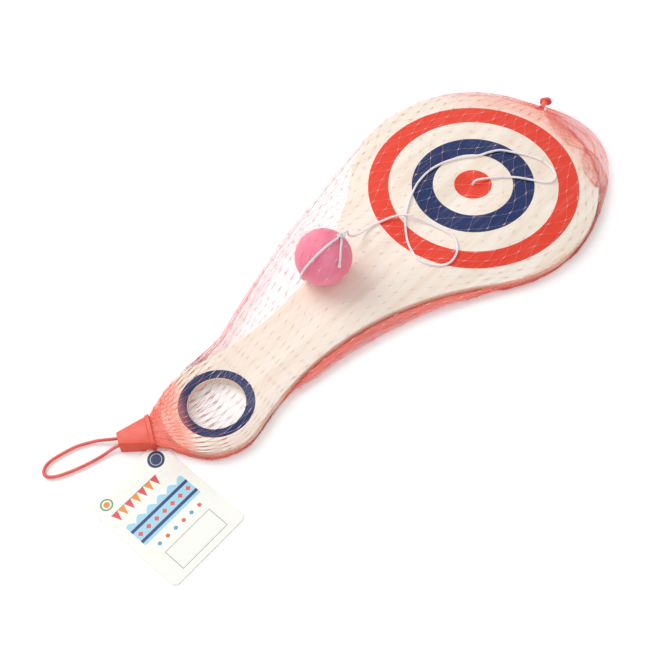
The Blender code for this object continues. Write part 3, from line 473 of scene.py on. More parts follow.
def printed_card():
    """White card. Its print is a navy disc, a row of pennants, a striped band and dots, in the tag's own
    millimetres: across from its middle, and up from its middle."""
    white = Finish("printed_card", (246, 247, 238), 0.5)
    fibres = white.grain(700)
    card = fibres.ramp(0.3, 0.7).mix((252, 252, 246), (247, 248, 238))
    away = Matrix.Rotation(-TAG_ANGLE, 3, "Z") @ TAG_CENTRE * -1000
    across, up, _ = white.place(1000, away, -TAG_ANGLE).split()
    navy, dark_navy, red, bare = (44, 66, 116), (36, 50, 92), (232, 96, 84), (248, 249, 241)

    # A pale blue band with a scalloped upper edge, two navy bars across it, and diamonds along its middle
    inside = across.between(-17.5, 17.5, 0.08)
    scallops = (across * (math.pi / 6.4)).maths("SINE").maths("ABSOLUTE") * 2.6
    band = (up - scallops).ramp(5.9, 6.1, 1.0, 0.0) * up.ramp(-5.1, -4.9)
    diamonds = (up - 0.8).maths("ABSOLUTE") - (across + 17.5).maths("PINGPONG", 2.5)
    prints = [(band * inside, (168, 218, 238))]
    prints += [(up.between(low, high, 0.06) * inside, navy) for low, high in ((3.4, 5.0), (-3.4, -1.8))]
    prints.append((diamonds.ramp(-1.15, -1.0, 1.0, 0.0) * inside, red))

    # Pennants on a string, in two colours by turns
    along = across + 18.0
    string = across.between(-18.0, 10.0, 0.05)
    pennants = (along.maths("PINGPONG", 2.0) + (up - 12.2) * 0.36).maths("GREATER_THAN", 2.0)
    by_turns = along.maths("MODULO", 8.0).maths("LESS_THAN", 4.0).mix((240, 150, 60), (226, 84, 84))
    prints.append((up.between(17.3, 17.6, 0.05) * string, navy))
    prints.append((pennants * up.between(12.2, 17.4, 0.05) * string, by_turns))

    # A row of dots, a thin grey frame left bare, a small green and orange ring, and the navy disc
    discs = [(5 * k - 12.5, -9.2, 1.0, red if k % 2 else (90, 170, 190)) for k in range(6)]
    ring, spot = ((3.1, (96, 160, 110)), (2.3, bare), (1.5, (236, 140, 70))), (-15.5, 23.4)
    discs += [(*spot, radius, colour) for radius, colour in ring]
    ring, spot = ((4.15, dark_navy), (2.9, (190, 200, 216)), (2.55, dark_navy)), (15.4, 22.8)
    discs += [(*spot, radius, colour) for radius, colour in ring]
    for u, v, radius, colour in discs:
        prints.append((distance(across - u, up - v).ramp(radius - 0.06, radius + 0.06, 1.0, 0.0), colour))
    for line, colour in ((0.0, (120, 128, 132)), (0.28, bare)):
        framed = across.between(line - 14, 14 - line, 0.04) * up.between(line - 26, -14 - line, 0.04)
        prints.append((framed, colour))
    for share, colour in prints:
        card = share.mix(card, colour)
    white.set({"Base Color": card})
    white.bump(fibres, 0.00001)
    return white.material


def add_object(name, data):
    obj = bpy.data.objects.new(name, data)
    bpy.context.scene.collection.objects.link(obj)
    return obj


def mesh_object(name, bm, *materials):
    """A finished piece from a bmesh, with its place in its mesh."""
    mesh = bpy.data.meshes.new(name)
    bm.to_mesh(mesh)
    bm.free()
    for material in materials:
        mesh.materials.append(material)
    return add_object(name, mesh)


def shade_round(obj, degrees=40):
    obj.data.shade_smooth()
    obj.data.set_sharp_from_angle(angle=math.radians(degrees))
    return obj


def round_off(bm, edges, size, segments, clamped=False):
    bmesh.ops.bevel(
        bm, geom=edges, offset=size, offset_type="OFFSET", affect="EDGES", segments=segments, profile=0.5,
        material=-1, clamp_overlap=clamped,
    )


def slice_at(bm, point, direction, **cleared):
    bmesh.ops.bisect_plane(
        bm, geom=bm.verts[:] + bm.edges[:] + bm.faces[:], dist=1e-7, plane_co=point, plane_no=direction,
        **cleared,
    )


def around(angle, reach=1.0, z=0.0):
    return Vector((reach * math.cos(angle), reach * math.sin(angle), z))


def pointed(place, direction, axis="Z"):
    """The transform to a place, with an axis in a direction."""
    return Matrix.Translation(place) @ direction.to_track_quat(axis, "Y").to_matrix().to_4x4()


def eased_copy(node, name, material, easing, segments=2):
    """A copy of a CAD node's mesh, with its sharp edges rounded off."""
    bm = bmesh.new()
    bm.from_mesh(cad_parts[node].data)
    bmesh.ops.remove_doubles(bm, verts=bm.verts, dist=1e-6)
    bmesh.ops.dissolve_limit(bm, angle_limit=math.radians(1), verts=bm.verts, edges=bm.edges)
    sharp = [edge for edge in bm.edges if edge.is_manifold and edge.calc_face_angle() > math.radians(50)]
    round_off(bm, sharp, easing, segments, clamped=True)
    piece = shade_round(mesh_object(name, bm, material))
    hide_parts(node)
    return piece


def smooth_rows(rows, steps):
    """Rows on a smooth curve through rows of figures, with this many steps from each to the next."""
    rows = np.array(rows)
    padded = np.vstack([rows[:1], rows, rows[-1:]])
    t = (np.arange(steps) / steps)[None, :, None]
    a, b, c, d = (padded[i:len(padded) - 3 + i, None, :] for i in range(4))
    fine = b + (c - a) * t / 2 + (2 * a - 5 * b + 4 * c - d) * t**2 / 2 + (3 * b - a - 3 * c + d) * t**3 / 2
    return np.vstack([fine.reshape(-1, rows.shape[1]), rows[-1:]])


def smooth_route(route, spacing):
    """Points at an even spacing on a smooth curve through a route's own points, both ends kept."""
    fine = smooth_rows(route, 12)
    lengths = np.concatenate([[0.0], np.cumsum(np.linalg.norm(np.diff(fine, axis=0), axis=1))])
    count = max(2, round(lengths[-1] / spacing))
    return [
        Vector([np.interp(lengths[-1] * i / count, lengths, column) for column in fine.T])
        for i in range(count + 1)
    ]


def route_length(points):
    return sum((b - a).length for a, b in zip(points, points[1:]))


def tubes(name, lines, material, sides=4):
    """A mesh of round cords, each given by its places, and by one radius or by a radius at each place."""
    curve = bpy.data.curves.new(name, "CURVE")
    curve.dimensions = "3D"
    curve.bevel_depth = 1.0
    curve.bevel_resolution = sides // 2 - 2
    curve.use_fill_caps = True
    for places, radii in lines:
        spline = curve.splines.new("POLY")
        spline.points.add(len(places) - 1)
        for point, place, radius in zip(spline.points, places, np.broadcast_to(radii, len(places))):
            point.co = (*place, 1)
            point.radius = radius
    drawn = add_object(name, curve)
    bpy.context.view_layer.update()
    mesh = bpy.data.meshes.new_from_object(drawn.evaluated_get(bpy.context.evaluated_depsgraph_get()))
    bpy.data.objects.remove(drawn, do_unlink=True)
    bpy.data.curves.remove(curve)
    bm = bmesh.new()
    bm.from_mesh(mesh)
    bpy.data.meshes.remove(mesh)
    bmesh.ops.remove_doubles(bm, verts=bm.verts, dist=1e-7)
    bmesh.ops.recalc_face_normals(bm, faces=bm.faces)
    piece = mesh_object(name, bm, material)
    piece.data.shade_smooth()
    return piece


def elastic_points():
    """The elastic's middle line, from the knot at the back up through the blade and on to the ball's knot."""
    foot = Vector((0, 0, BLADE_UNDERSIDE + GAP + BACK_KNOT_HEIGHT))
    route = [foot] + [Vector((x, y, CORD_ON_BLADE + sum(rise))) for x, y, *rise in CORD_ROUTE]
    route += [BALL_CENTRE + Vector(radii) * BALL_RADIUS for radii in RISE_TO_KNOT]
    route.append(KNOT_CENTRE - (KNOT_CENTRE - route[-1]).normalized() * KNOT_CORE)
    return smooth_route(route, CORD_SPACING)


def ball_loop_points():
    """From the knot down through the ball's bore, and back over the ball."""
    over = BORE_DIRECTION.cross(LOOP_PLANE_NORMAL).normalized()
    route = [BALL_CENTRE + BORE_DIRECTION * BALL_RADIUS * share for share in (1, 0.8, 0.4, 0, -0.4, -0.8, -1)]
    for degrees, height in LOOP_TURN:
        angle = math.radians(degrees)
        way = BORE_DIRECTION * math.cos(angle) + over * math.sin(angle)
        route.append(BALL_CENTRE + way * (CORD_ON_BALL + height * CORD_DIAMETER))
    return smooth_route(route, CORD_SPACING)


def tail_points():
    tail = [BALL_CENTRE + Vector(way).normalized() * (CORD_ON_BALL + GAP / 2) for way in TAIL_DIRECTIONS]
    tail.insert(0, KNOT_CENTRE + (tail[0] - KNOT_CENTRE).normalized() * KNOT_CORE)
    return smooth_route(tail, CORD_SPACING)


def overhand_knot(centre, radius, height, axis):
    """The middle line of a small tight knot: two turns of cord wound on each other."""
    stands = pointed(centre, axis)
    thick = CORD_DIAMETER / 2
    count = 40
    places = []
    for i in range(count + 1):
        angle = math.tau * 2 * i / count
        ring = radius - thick * (1.0 + 0.25 * math.cos(angle * 1.5))
        places.append(stands @ around(angle, ring, (height / 2 - thick) * math.sin(angle * 0.75)))
    return places


def make_cords():
    points, ball_route, tail_route = elastic_points(), ball_loop_points(), tail_points()
    back_centre = Vector((0, 0, BLADE_UNDERSIDE + GAP / 2 + BACK_KNOT_HEIGHT / 2))
    knot_line = overhand_knot(KNOT_CENTRE, BALL_KNOT_RADIUS, 2 * BALL_KNOT_RADIUS, BORE_DIRECTION)
    back_line = overhand_knot(back_centre, BACK_KNOT_RADIUS, BACK_KNOT_HEIGHT, Vector((0, 0, 1)))
    flare = np.array([1.0] * (len(tail_route) - len(TAIL_FLARE)) + TAIL_FLARE)
    elastic = white_elastic(route_length(points))
    cord, ball_loop, tail, knot, back_knot = (
        tubes(name, [(line, CORD_DIAMETER / 2 * swell)], elastic, 10) for name, line, swell in (
            ("elastic", points, 1), ("elastic_round_ball", ball_route, 1),
            ("elastic_tail", tail_route, flare), ("elastic_ball_knot", knot_line, 1),
            ("elastic_back_knot", back_line, 1),
        )
    )
    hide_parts("elastic_cord", "cord_through_blade")
    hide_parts("ball_cord_loop")
    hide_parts("cord_tail")
    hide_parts("ball_knot")
    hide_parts("back_knot")
    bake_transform(cord)
    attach(back_knot, "root")
    for piece in (ball_loop, tail, knot):
        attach(piece, "ball_tie")
    return points + ball_route + tail_route


def make_paddle():
    paddle = eased_copy("paddle_blade", "paddle", paddle_wood(), BLADE_EASING)
    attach(paddle, "root")


def make_ball():
    """A sphere with its poles on the bore, opened there and joined through by the bore's wall."""
    bm = bmesh.new()
    bmesh.ops.create_uvsphere(bm, u_segments=64, v_segments=44, radius=BALL_RADIUS)
    poles = [v for v in bm.verts if math.hypot(v.co.x, v.co.y) < BORE_RADIUS * 0.9]
    bmesh.ops.delete(bm, geom=poles, context="VERTS")
    rims = [edge for edge in bm.edges if edge.is_boundary]
    for vert in {vert for edge in rims for vert in edge.verts}:
        flat = vert.co.xy.normalized() * BORE_RADIUS
        vert.co = (*flat, math.copysign(BALL_RADIUS * 0.992, vert.co.z))
    bmesh.ops.bridge_loops(bm, edges=rims)
    bmesh.ops.transform(bm, matrix=pointed(BALL_CENTRE, BORE_DIRECTION), verts=bm.verts)
    bmesh.ops.recalc_face_normals(bm, faces=bm.faces)
    ball = shade_round(mesh_object("ball", bm, pink_rubber()), 50)
    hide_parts("rubber_ball")
    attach(ball, "ball")


def neck_arc():
    """Centre and radius of the arc at +Y that meets the paddle's two round ends and its neck's width."""
    half = NECK_WIDTH / 2
    middle = (HANDLE_CENTRE**2 + HEAD_RADIUS**2 - HANDLE_RADIUS**2) / (2 * HANDLE_CENTRE)
    lean = (HEAD_RADIUS - HANDLE_RADIUS) / HANDLE_CENTRE
    slack = HEAD_RADIUS - half - middle * lean
    rest = middle**2 - HEAD_RADIUS**2 + half**2
    radius = rest / (slack + math.sqrt(slack**2 - lean**2 * rest))
    return -(middle + lean * radius), half + radius, radius


def plan(places):
    """Places seen from above, as complex numbers x + yi."""
    return np.array(places) @ (1, 1j, 0)


def outside_blade(seen):
    """How far places seen from above lie outside the paddle's outline, negative inside it."""
    centre_x, centre_y, radius = neck_arc()
    head_meets = centre_x * HEAD_RADIUS / (HEAD_RADIUS + radius)
    handle_meets = (centre_x + HANDLE_CENTRE) * HANDLE_RADIUS / (HANDLE_RADIUS + radius) - HANDLE_CENTRE
    head = np.abs(seen) - HEAD_RADIUS
    handle = np.abs(seen + HANDLE_CENTRE) - HANDLE_RADIUS
    neck = radius - np.hypot(seen.real - centre_x, np.abs(seen.imag) - centre_y)
    return np.where(seen.real > head_meets, head, np.where(seen.real < handle_meets, handle, neck))


def clip_point(x, y, z=0.0):
    """A place given in the clip's frame: from its mouth towards its narrow end, and towards the tag."""
    return CLIP_FRAME @ Vector((x, y, z))


def clip_half_width(x):
    return (CLIP_MOUTH_WIDTH + (CLIP_END_WIDTH - CLIP_MOUTH_WIDTH) * x / CLIP_LENGTH) / 2


def net_table():
    """A fine table along the netting, seen from above: its left and right edges, the depths of its left
    and right folds, and the directions in which these reach in."""
    rows = []
    for x in (0.0095, 0.0045, 0.0):
        half = clip_half_width(x) - CLIP_WALL - GAP
        rows.append((plan(clip_point(x, -half)), plan(clip_point(x, half)), half * 0.9, half * 0.9))
    rows += [(complex(*row[:2]), complex(*row[2:4]), *row[4:]) for row in NET_STATIONS]
    gather = math.atan2(GATHER.y, GATHER.x)
    for i, (*reaches, left_fold, right_fold) in enumerate(RIM_STATIONS):
        share = i / (len(RIM_STATIONS) - 1)
        turns = (start + (gather - start) * share for start in (math.pi / 2, -math.pi / 2))
        edges = (reach * np.exp(1j * turn) for reach, turn in zip(reaches, turns))
        rows.append((*edges, left_fold, right_fold))
    table = smooth_rows(rows, 20)
    for column, quarter_turn in ((0, -1j), (1, 1j)):
        run = np.gradient(table[:, column])
        table = np.column_stack([table, quarter_turn * run / np.abs(run)])
    return table


def inside_outline(seen, outline):
    """True for the places inside a closed outline."""
    found = np.zeros(seen.shape, bool)
    for a, b in zip(outline, np.roll(outline, -1)):
        crosses = (a.imag > seen.imag) != (b.imag > seen.imag)
        found ^= crosses & (seen.real < (b - a).real * (seen - a).imag / ((b - a).imag + 1e-12) + a.real)
    return found


class Membrane:
    """The height of the netting's top: stretched between its edges, over the paddle, cord and ball. It is
    worked out on a grid, in rounds, and is ALONG times as tight along the paddle as across it."""

    STEP = 0.00125
    ROUNDS = 1500
    ALONG = 2.0

    def __init__(self, table, cords):
        outline = np.concatenate([table[:, 0], table[::-1, 1]])
        past = 4 * self.STEP
        sides = (outline.real, outline.imag)
        self.axes = [np.arange(side.min() - past, side.max() + past, self.STEP) for side in sides]
        seen = self.axes[0][:, None] + 1j * self.axes[1]
        inside = inside_outline(seen, outline)
        under = np.where(outside_blade(seen) < 0.0004, BLADE_TOP + NET_LIFT, 0.0)
        from_ball = np.abs(seen - plan(BALL_CENTRE))
        reach = BALL_RADIUS + NET_LIFT
        dome = BALL_CENTRE.z + np.sqrt(np.maximum(reach**2 - from_ball**2, 0))
        under = np.where(from_ball < reach, np.maximum(under, dome), under)
        for place in cords:
            away = seen - plan(place)
            near = (np.abs(away.real) < 0.0010) & (np.abs(away.imag) < 0.0010)
            under[near] = np.maximum(under[near], place.z + CORD_DIAMETER / 2 + NET_LIFT)
        knot = np.abs(seen - plan(KNOT_CENTRE)) < BALL_KNOT_RADIUS
        under[knot] = KNOT_CENTRE.z + BALL_KNOT_RADIUS + NET_LIFT
        height = np.where(inside, np.maximum(under, NET_EDGE_HEIGHT), NET_EDGE_HEIGHT)
        for _ in range(self.ROUNDS):
            along = height[2:, 1:-1] + height[:-2, 1:-1]
            across = height[1:-1, 2:] + height[1:-1, :-2]
            even = (self.ALONG * along + across) / (2 * self.ALONG + 2)
            held = np.maximum(even, under[1:-1, 1:-1])
            height[1:-1, 1:-1] = np.where(inside[1:-1, 1:-1], held, NET_EDGE_HEIGHT)
        self.height = height

    def at(self, seen):
        h = self.height
        u, v = (
            np.clip((part - axis[0]) / self.STEP, 0, len(axis) - 1.001)
            for part, axis in zip((seen.real, seen.imag), self.axes)
        )
        i, k = u.astype(int), v.astype(int)
        u, v = u - i, v - k
        low = h[i, k] * (1 - u) + h[i + 1, k] * u
        high = h[i, k + 1] * (1 - u) + h[i + 1, k + 1] * u
        return low * (1 - v) + high * v


def smoothstep(value, low, high):
    share = np.clip((value - low) / (high - low), 0, 1)
    return share * share * (3 - 2 * share)


def on_tag(seen):
    """True for places over the card tag, and just beyond its edges."""
    local = (seen - plan(TAG_CENTRE)) * np.exp(-1j * TAG_ANGLE)
    return (np.abs(local.real) < TAG_WIDTH / 2 + 0.0012) & (np.abs(local.imag) < TAG_HEIGHT / 2 + 0.0012)


def crowded(share):
    """Where cells lie across the netting's width: closer together towards its edges."""
    return share * (1 + NET_CROWDING) - NET_CROWDING * share**3


def net_places(net, station, cell, crumpled=1.0):
    """Where points of the netting lie, and how slack it is there. net is its table and its membrane,
    station counts the table's rows, and cell counts cells round the netting, from the middle of its top
    towards its right: over the top, into the folds, and on under the paddle."""
    table, membrane = net
    index = np.arange(len(table))
    left, right, fold_left, fold_right, into_left, into_right = (
        np.interp(station, index, column) for column in table.T
    )
    width = np.abs(right - left)
    across = (right - left) / width
    half = NET_TOP_CELLS / 2
    seen = (left + right) / 2 + across * width / 2 * crowded(np.clip(cell / half, -1, 1))
    z = membrane.at(seen)
    slack = np.zeros(len(z))
    for side, depth, cells, folds_slack, edge, into in (
        (1, fold_right.real, NET_RIGHT_CELLS, RIGHT_SLACK, right, into_right),
        (-1, fold_left.real, NET_LEFT_CELLS, LEFT_SLACK, left, into_left),
    ):
        past = side * cell - half
        count = past * NET_FOLDED_CELL / np.maximum(depth, 1e-6)
        leg = np.floor(count)
        swing = np.where(leg % 2 == 0, count - leg, 1 - (count - leg))
        drift = np.sin(station * 0.11 + leg * 2.3) + np.sin(station * 0.037 + past * 0.9)
        fold = edge + into * depth * swing * (0.85 + 0.15 * drift)
        share = np.clip(past / cells, 0, 1)
        side_z = NET_EDGE_HEIGHT + 0.0012 * np.sin(share * math.pi) - 0.0022 * share
        over_rim = BLADE_TOP + NET_LIFT + 0.0014 * (1 - share)
        fold_z = np.where(fold.real < FOLDS_TUCKED_BEFORE, NET_ON_FLOOR, over_rim) - side_z
        fold_z = side_z + fold_z * smoothstep(-outside_blade(fold), -0.0018, -0.0002)
        folded = (past > 0) & (past <= cells)
        seen, z = np.where(folded, fold, seen), np.where(folded, fold_z, z)
        slack = np.where(folded, folds_slack, slack)
        from_edge = width / 2 * (1 - crowded(np.clip(1 - (past - cells) / half, 0, 1)))
        under = past > cells
        seen = np.where(under, edge - side * across * from_edge, seen)
        rise = smoothstep(outside_blade(seen), 0.0, 0.004) * np.clip(1 - from_edge / 0.004, 0, 1)
        z = np.where(under, NET_ON_FLOOR + 0.0010 * rise, z)
    z = np.where(on_tag(seen), np.maximum(z, NET_ON_TAG), z)

    from_clip = clip_distance(seen)
    in_clip = smoothstep(-from_clip, -0.003, 0.003)
    near_clip = (1 - smoothstep(from_clip, *NEAR_CLIP)) * (1 - in_clip)
    room = CLIP_HEIGHT - CLIP_WALL - CLIP_PLATE - 2 * GAP - TAG_THICKNESS
    middle = CLIP_PLATE + GAP + TAG_THICKNESS + room / 2
    turn = cell / (NET_TOP_CELLS + np.where(cell > 0, NET_RIGHT_CELLS, NET_LEFT_CELLS)) * math.pi
    z += (middle + np.cos(turn) * room * 0.42 - z) * in_clip
    to_gather = smoothstep(station, len(table) - GATHER_ROWS, len(table) - 1)
    z += (GATHER.z + np.cos(turn) * GATHER_RADIUS - z) * to_gather**2
    seen += (plan(GATHER) + 1j * np.sin(turn) * GATHER_RADIUS - seen) * to_gather**3
    crumple = crumpled * (FOLD_CRUMPLE * slack * (1 - to_gather) + CLIP_CRUMPLE * near_clip)
    seen += crumple * (np.sin(station * 0.9 + cell * 2.1) + 1j * np.sin(station * 0.7 + cell * 3.7 + 1))
    slack = np.maximum.reduce([slack, in_clip, 1.7 * near_clip, to_gather])
    return np.stack([seen.real, seen.imag, z], 1), slack


def clip_distance(seen):
    """How far places lie outside the clip's mouth, along the clip."""
    return -((seen - plan(CLIP_MOUTH)) * np.exp(-1j * CLIP_ANGLE)).real


def neck_share(seen):
    """1 at the clip's mouth, down to 0 where the netting has spread out over the handle."""
    return 1 - smoothstep(clip_distance(seen), *NECK_DENSE)


def side_density(seen, cell):
    """How closely the layers lie at places along the folds: cell is above 0 on the right side."""
    x, density = np.array(RIGHT_DENSITY if cell > 0 else LEFT_DENSITY).T
    return np.maximum(np.interp(seen.real, x, density), NECK_SIDE_DENSITY * neck_share(seen))


def fading(seen):
    """How the folds' film thins out, inwards over the head's rim and outwards from the paddle's edge."""
    outside = outside_blade(seen)
    right_of_handle = np.where(seen.imag < 0, 1 - smoothstep(seen.real, 0.0, 0.03), 0)
    outwards = (0.15 + 0.81 * right_of_handle) * smoothstep(outside, 0.0, 0.0070)
    return (1 - 0.9 * smoothstep(-outside, 0.001, 0.013)) * (1 - outwards)


def rim_share(seen):
    """How the netting's top crowds together over the head's rim, nearer the gathered end."""
    from_gather = np.abs(seen - plan(GATHER))
    return smoothstep(np.abs(seen), *OVER_RIM) * (1 - smoothstep(from_gather, *RIM_DENSE))


def net_rows(table):
    """How many rows of cells come before each row of the table: they lie closer where it is wider."""
    half_cell = np.abs(table[:, 1] - table[:, 0]) / NET_TOP_CELLS * (1 + NET_CROWDING) / 2
    row_length = np.sqrt(np.maximum(NET_CELL_SIDE**2 - half_cell**2, (0.4 * NET_CELL_SIDE) ** 2))
    moved = np.abs(np.diff(table[:, 0] + table[:, 1])) / 2
    return np.concatenate([[0], np.cumsum(moved / row_length[1:])])


def net_lines(net):
    """The netting's strands over the top, in the folds, and underneath: lists of (places, radii). Each
    strand meets its two neighbours in turn, and swells where it is joined to them."""
    rows = net_rows(net[0])
    along = np.arange(int(rows[-1] * NET_POINTS_PER_ROW) + 1) / NET_POINTS_PER_ROW
    station = np.interp(along, rows, np.arange(len(rows)))
    swing = np.clip((np.abs(along % 2 - 1) - 0.5) * 2.5, -1, 1)
    joined = smoothstep(np.abs(swing), 0.85, 1.0)
    half = NET_TOP_CELLS / 2
    lowest = -(NET_TOP_CELLS + NET_LEFT_CELLS)
    cells_round = 2 * NET_TOP_CELLS + NET_RIGHT_CELLS + NET_LEFT_CELLS
    groups = {"top": [], "folds": [], "back": []}
    for i in range(2 * cells_round):
        middle = lowest + (i + 0.5) / 2
        cell = middle + (NET_SWING if i % 2 == 0 else -NET_SWING) * swing
        seam = 1 - np.abs((cell - lowest) / cells_round * 2 - 1) ** 8
        cell += seam * (0.22 * np.sin(0.9 * cell + 0.7 * along) + 0.18 * np.sin(0.37 * cell - 1.1 * along))
        places, slack = net_places(net, station, cell)
        seen = plan(places)
        from_clip = clip_distance(seen)
        drawn_in = smoothstep(from_clip, *NET_DRAWN_IN[:2]) - smoothstep(from_clip, *NET_DRAWN_IN[2:])
        swell = NET_JOINT_SWELL * joined * (1 - 0.8 * slack) + NET_DRAWN_IN_SWELL * drawn_in
        density = side_density(seen, middle) * fading(seen)
        radii = NET_STRAND_RADIUS * (1 + swell) * (1 + NET_SLACK_SWELL * slack * (0.2 + 2.2 * density))
        if -half < middle < half:
            group = "top"
        else:
            group = "folds" if 0 < middle < half + NET_RIGHT_CELLS else "back"
        groups[group].append((places, radii))
    return groups


def cut(obj, name, planes):
    """A copy of a piece, keeping what lies ahead of each plane, given as a point and a direction."""
    bm = bmesh.new()
    bm.from_mesh(obj.data)
    for plane in planes:
        slice_at(bm, *plane, clear_inner=True)
    piece = mesh_object(name, bm, *obj.data.materials)
    piece.data.shade_smooth()
    return piece


def colour_strands(strands, joined, gathered):
    """Gives the swellings where strands are joined a material of their own, and so the gathered ends."""
    strands.data.materials.append(joined)
    strands.data.materials.append(gathered)
    bm = bmesh.new()
    bm.from_mesh(strands.data)
    places = np.array([face.calc_center_median() for face in bm.faces])
    ends = (neck_share(plan(places)) > 0.3) | (np.linalg.norm(places - np.array(GATHER), axis=1) < 0.012)
    for face, at_end in zip(bm.faces, ends):
        swollen = min(edge.calc_length() for edge in face.edges) > SWOLLEN * NET_STRAND_RADIUS
        face.material_index = 2 if at_end else int(swollen)
    bm.to_mesh(strands.data)
    bm.free()


def bends_with_clip(piece):
    """The gathered netting at the clip: hides the CAD netting that it takes the place of, and fixes the piece
    where it lies.
    """
    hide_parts("net_neck", "net_bunch")
    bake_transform(piece)


def stays_on_paddle(piece):
    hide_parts("net_sleeve_head", "net_sleeve_handle", "net_sleeve_under")
    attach(piece, "root")


def net_film(name, net, stations, cells, density):
    """A sheet through the places of the netting's cells, between two stations and two cells."""
    rows, across = round((stations[1] - stations[0]) / 2), round((cells[1] - cells[0]) * 3)
    bm = bmesh.new()
    bm.loops.layers.uv.new("UVMap")
    bmesh.ops.create_grid(bm, x_segments=rows, y_segments=across, size=0.5, calc_uvs=True)
    shares = np.array([vert.co[:2] for vert in bm.verts]) + 0.5
    cell = cells[0] + shares[:, 1] * (cells[1] - cells[0])
    station = stations[0] + shares[:, 0] * (stations[1] - stations[0])
    places, _ = net_places(net, station, cell, 0.0)
    stops = bm.verts.layers.float.new("closeness")
    for vert, place, share in zip(bm.verts, places, density(plan(places))):
        vert.co = place
        vert[stops] = share
    film = mesh_object(name, bm, film_netting(f"{name}_netting", rows, cells[1] - cells[0]))
    film.data.shade_smooth()
    return film


def make_net_films(net):
    """The crowded netting at the clip, over the head's rim, and in the folds down both sides."""
    half = NET_TOP_CELLS / 2
    last = len(net[0]) - 1
    all_round = (-NET_TOP_CELLS - NET_LEFT_CELLS, NET_TOP_CELLS + NET_RIGHT_CELLS)
    near = net_film(
        "net_gathers", net, (0, NECK_FILM_TO), all_round, lambda seen: NECK_DENSITY * neck_share(seen)
    )
    bends_with_clip(cut(near, "net_neck_film", [INTO_CLIP]))
    stays_on_paddle(cut(near, "net_handle_film", [OUT_OF_CLIP]))
    bpy.data.objects.remove(near, do_unlink=True)
    rim = ("net_rim_film", net, (RIM_FILM_FROM, last), (-half, half))
    stays_on_paddle(net_film(*rim, lambda seen: RIM_DENSITY * rim_share(seen)))
    for name, side, cells in (
        ("net_right_folds", 1, (half - 0.5, half + NET_RIGHT_CELLS)),
        ("net_left_folds", -1, (-half - NET_LEFT_CELLS, 0.5 - half)),
    ):
        stays_on_paddle(net_film(
            name, net, (FOLD_FILMS_FROM, last), cells,
            lambda seen: side_density(seen, side) * fading(seen) * (1 - neck_share(seen)),
        ))


def make_netting(cords):
    stretched = red_netting("stretched_netting", (248, 208, 210), (238, 188, 196))
    joined = red_netting("joined_netting", (208, 128, 118), (190, 106, 102))
    # The folded and gathered netting get a painted glow, standing in for light that comes through where
    # strands crowd
    folded = red_netting("folded_netting", (250, 144, 132), (236, 112, 102), 0.05)
    gathered = red_netting("gathered_netting", (252, 142, 120), (240, 112, 92), 0.10)
    table = net_table()
    net = (table, Membrane(table, cords))
    make_net_films(net)
    for group, lines in net_lines(net).items():
        whole = tubes(f"net_{group}", lines, folded if group == "folds" else stretched)
        if group != "folds":
            colour_strands(whole, joined, gathered)
        neck = cut(whole, f"net_neck_{group}", [INTO_CLIP])
        for k in range(len(neck.data.materials)):
            neck.data.materials[k] = gathered
        bends_with_clip(neck)
        if group == "top":
            make_net_over_ball(whole)
        else:
            stays_on_paddle(cut(whole, f"net_strands_{group}", [OUT_OF_CLIP]))
        bpy.data.objects.remove(whole, do_unlink=True)
    make_net_end()


def make_net_over_ball(whole):
    """The netting's top, cut into sectors round the ball."""
    half = math.pi / BALL_SECTORS
    for k in range(BALL_SECTORS):
        middle = 2 * half * k
        angles = (middle - half + math.pi / 2, middle + half - math.pi / 2)
        planes = [OUT_OF_CLIP, *((BALL_CENTRE, around(angle)) for angle in angles)]
        sector = cut(whole, f"net_over_ball_{k + 1}", planes)
        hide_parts("net_sleeve_ball", "net_sleeve_head", "net_sleeve_handle")
        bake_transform(sector)


def make_net_end():
    """The gathered strands past the head, and the melted bead that seals them, wider than it is thick."""
    run = GATHER_TIP - GATHER
    turn = pointed(Vector(), run)
    strands, steps = 18, 8
    lines = []
    for i in range(strands):
        places = []
        for k in range(steps + 1):
            share = k / steps
            reach = GATHER_RADIUS - 0.0004 * math.sin(share * math.pi)
            place = around(math.tau * i / strands + share * 1.2, reach)
            places.append(GATHER.lerp(GATHER_TIP, share * 1.1 - 0.05) + turn @ place)
        lines.append((places, 0.00030))
    # The twisted strands get a painted glow as well
    twisted = red_netting("twisted_netting", (248, 132, 112), (234, 104, 88), 0.08)
    gather = tubes("net_gather", lines, twisted, 6)

    bm = bmesh.new()
    bmesh.ops.create_icosphere(bm, subdivisions=4, radius=0.0020)
    for vert in bm.verts:
        vert.co *= 1 + 0.28 * noise.noise(vert.co * 700)
        vert.co *= Vector((2.0, 1.15, 0.72))
    across = run.cross(SEAL_LENGTHWAYS).normalized()
    lies = Matrix((SEAL_LENGTHWAYS, across, SEAL_LENGTHWAYS.cross(across))).transposed().to_4x4()
    bmesh.ops.transform(bm, matrix=Matrix.Translation(SEAL_CENTRE) @ lies, verts=bm.verts)
    melted = red_netting("melted_netting", (232, 92, 84), (206, 66, 62))
    seal = shade_round(mesh_object("net_seal", bm, melted), 60)
    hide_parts("net_tail")
    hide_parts("net_tail_seal")
    for piece in (gather, seal):
        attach(piece, "root")


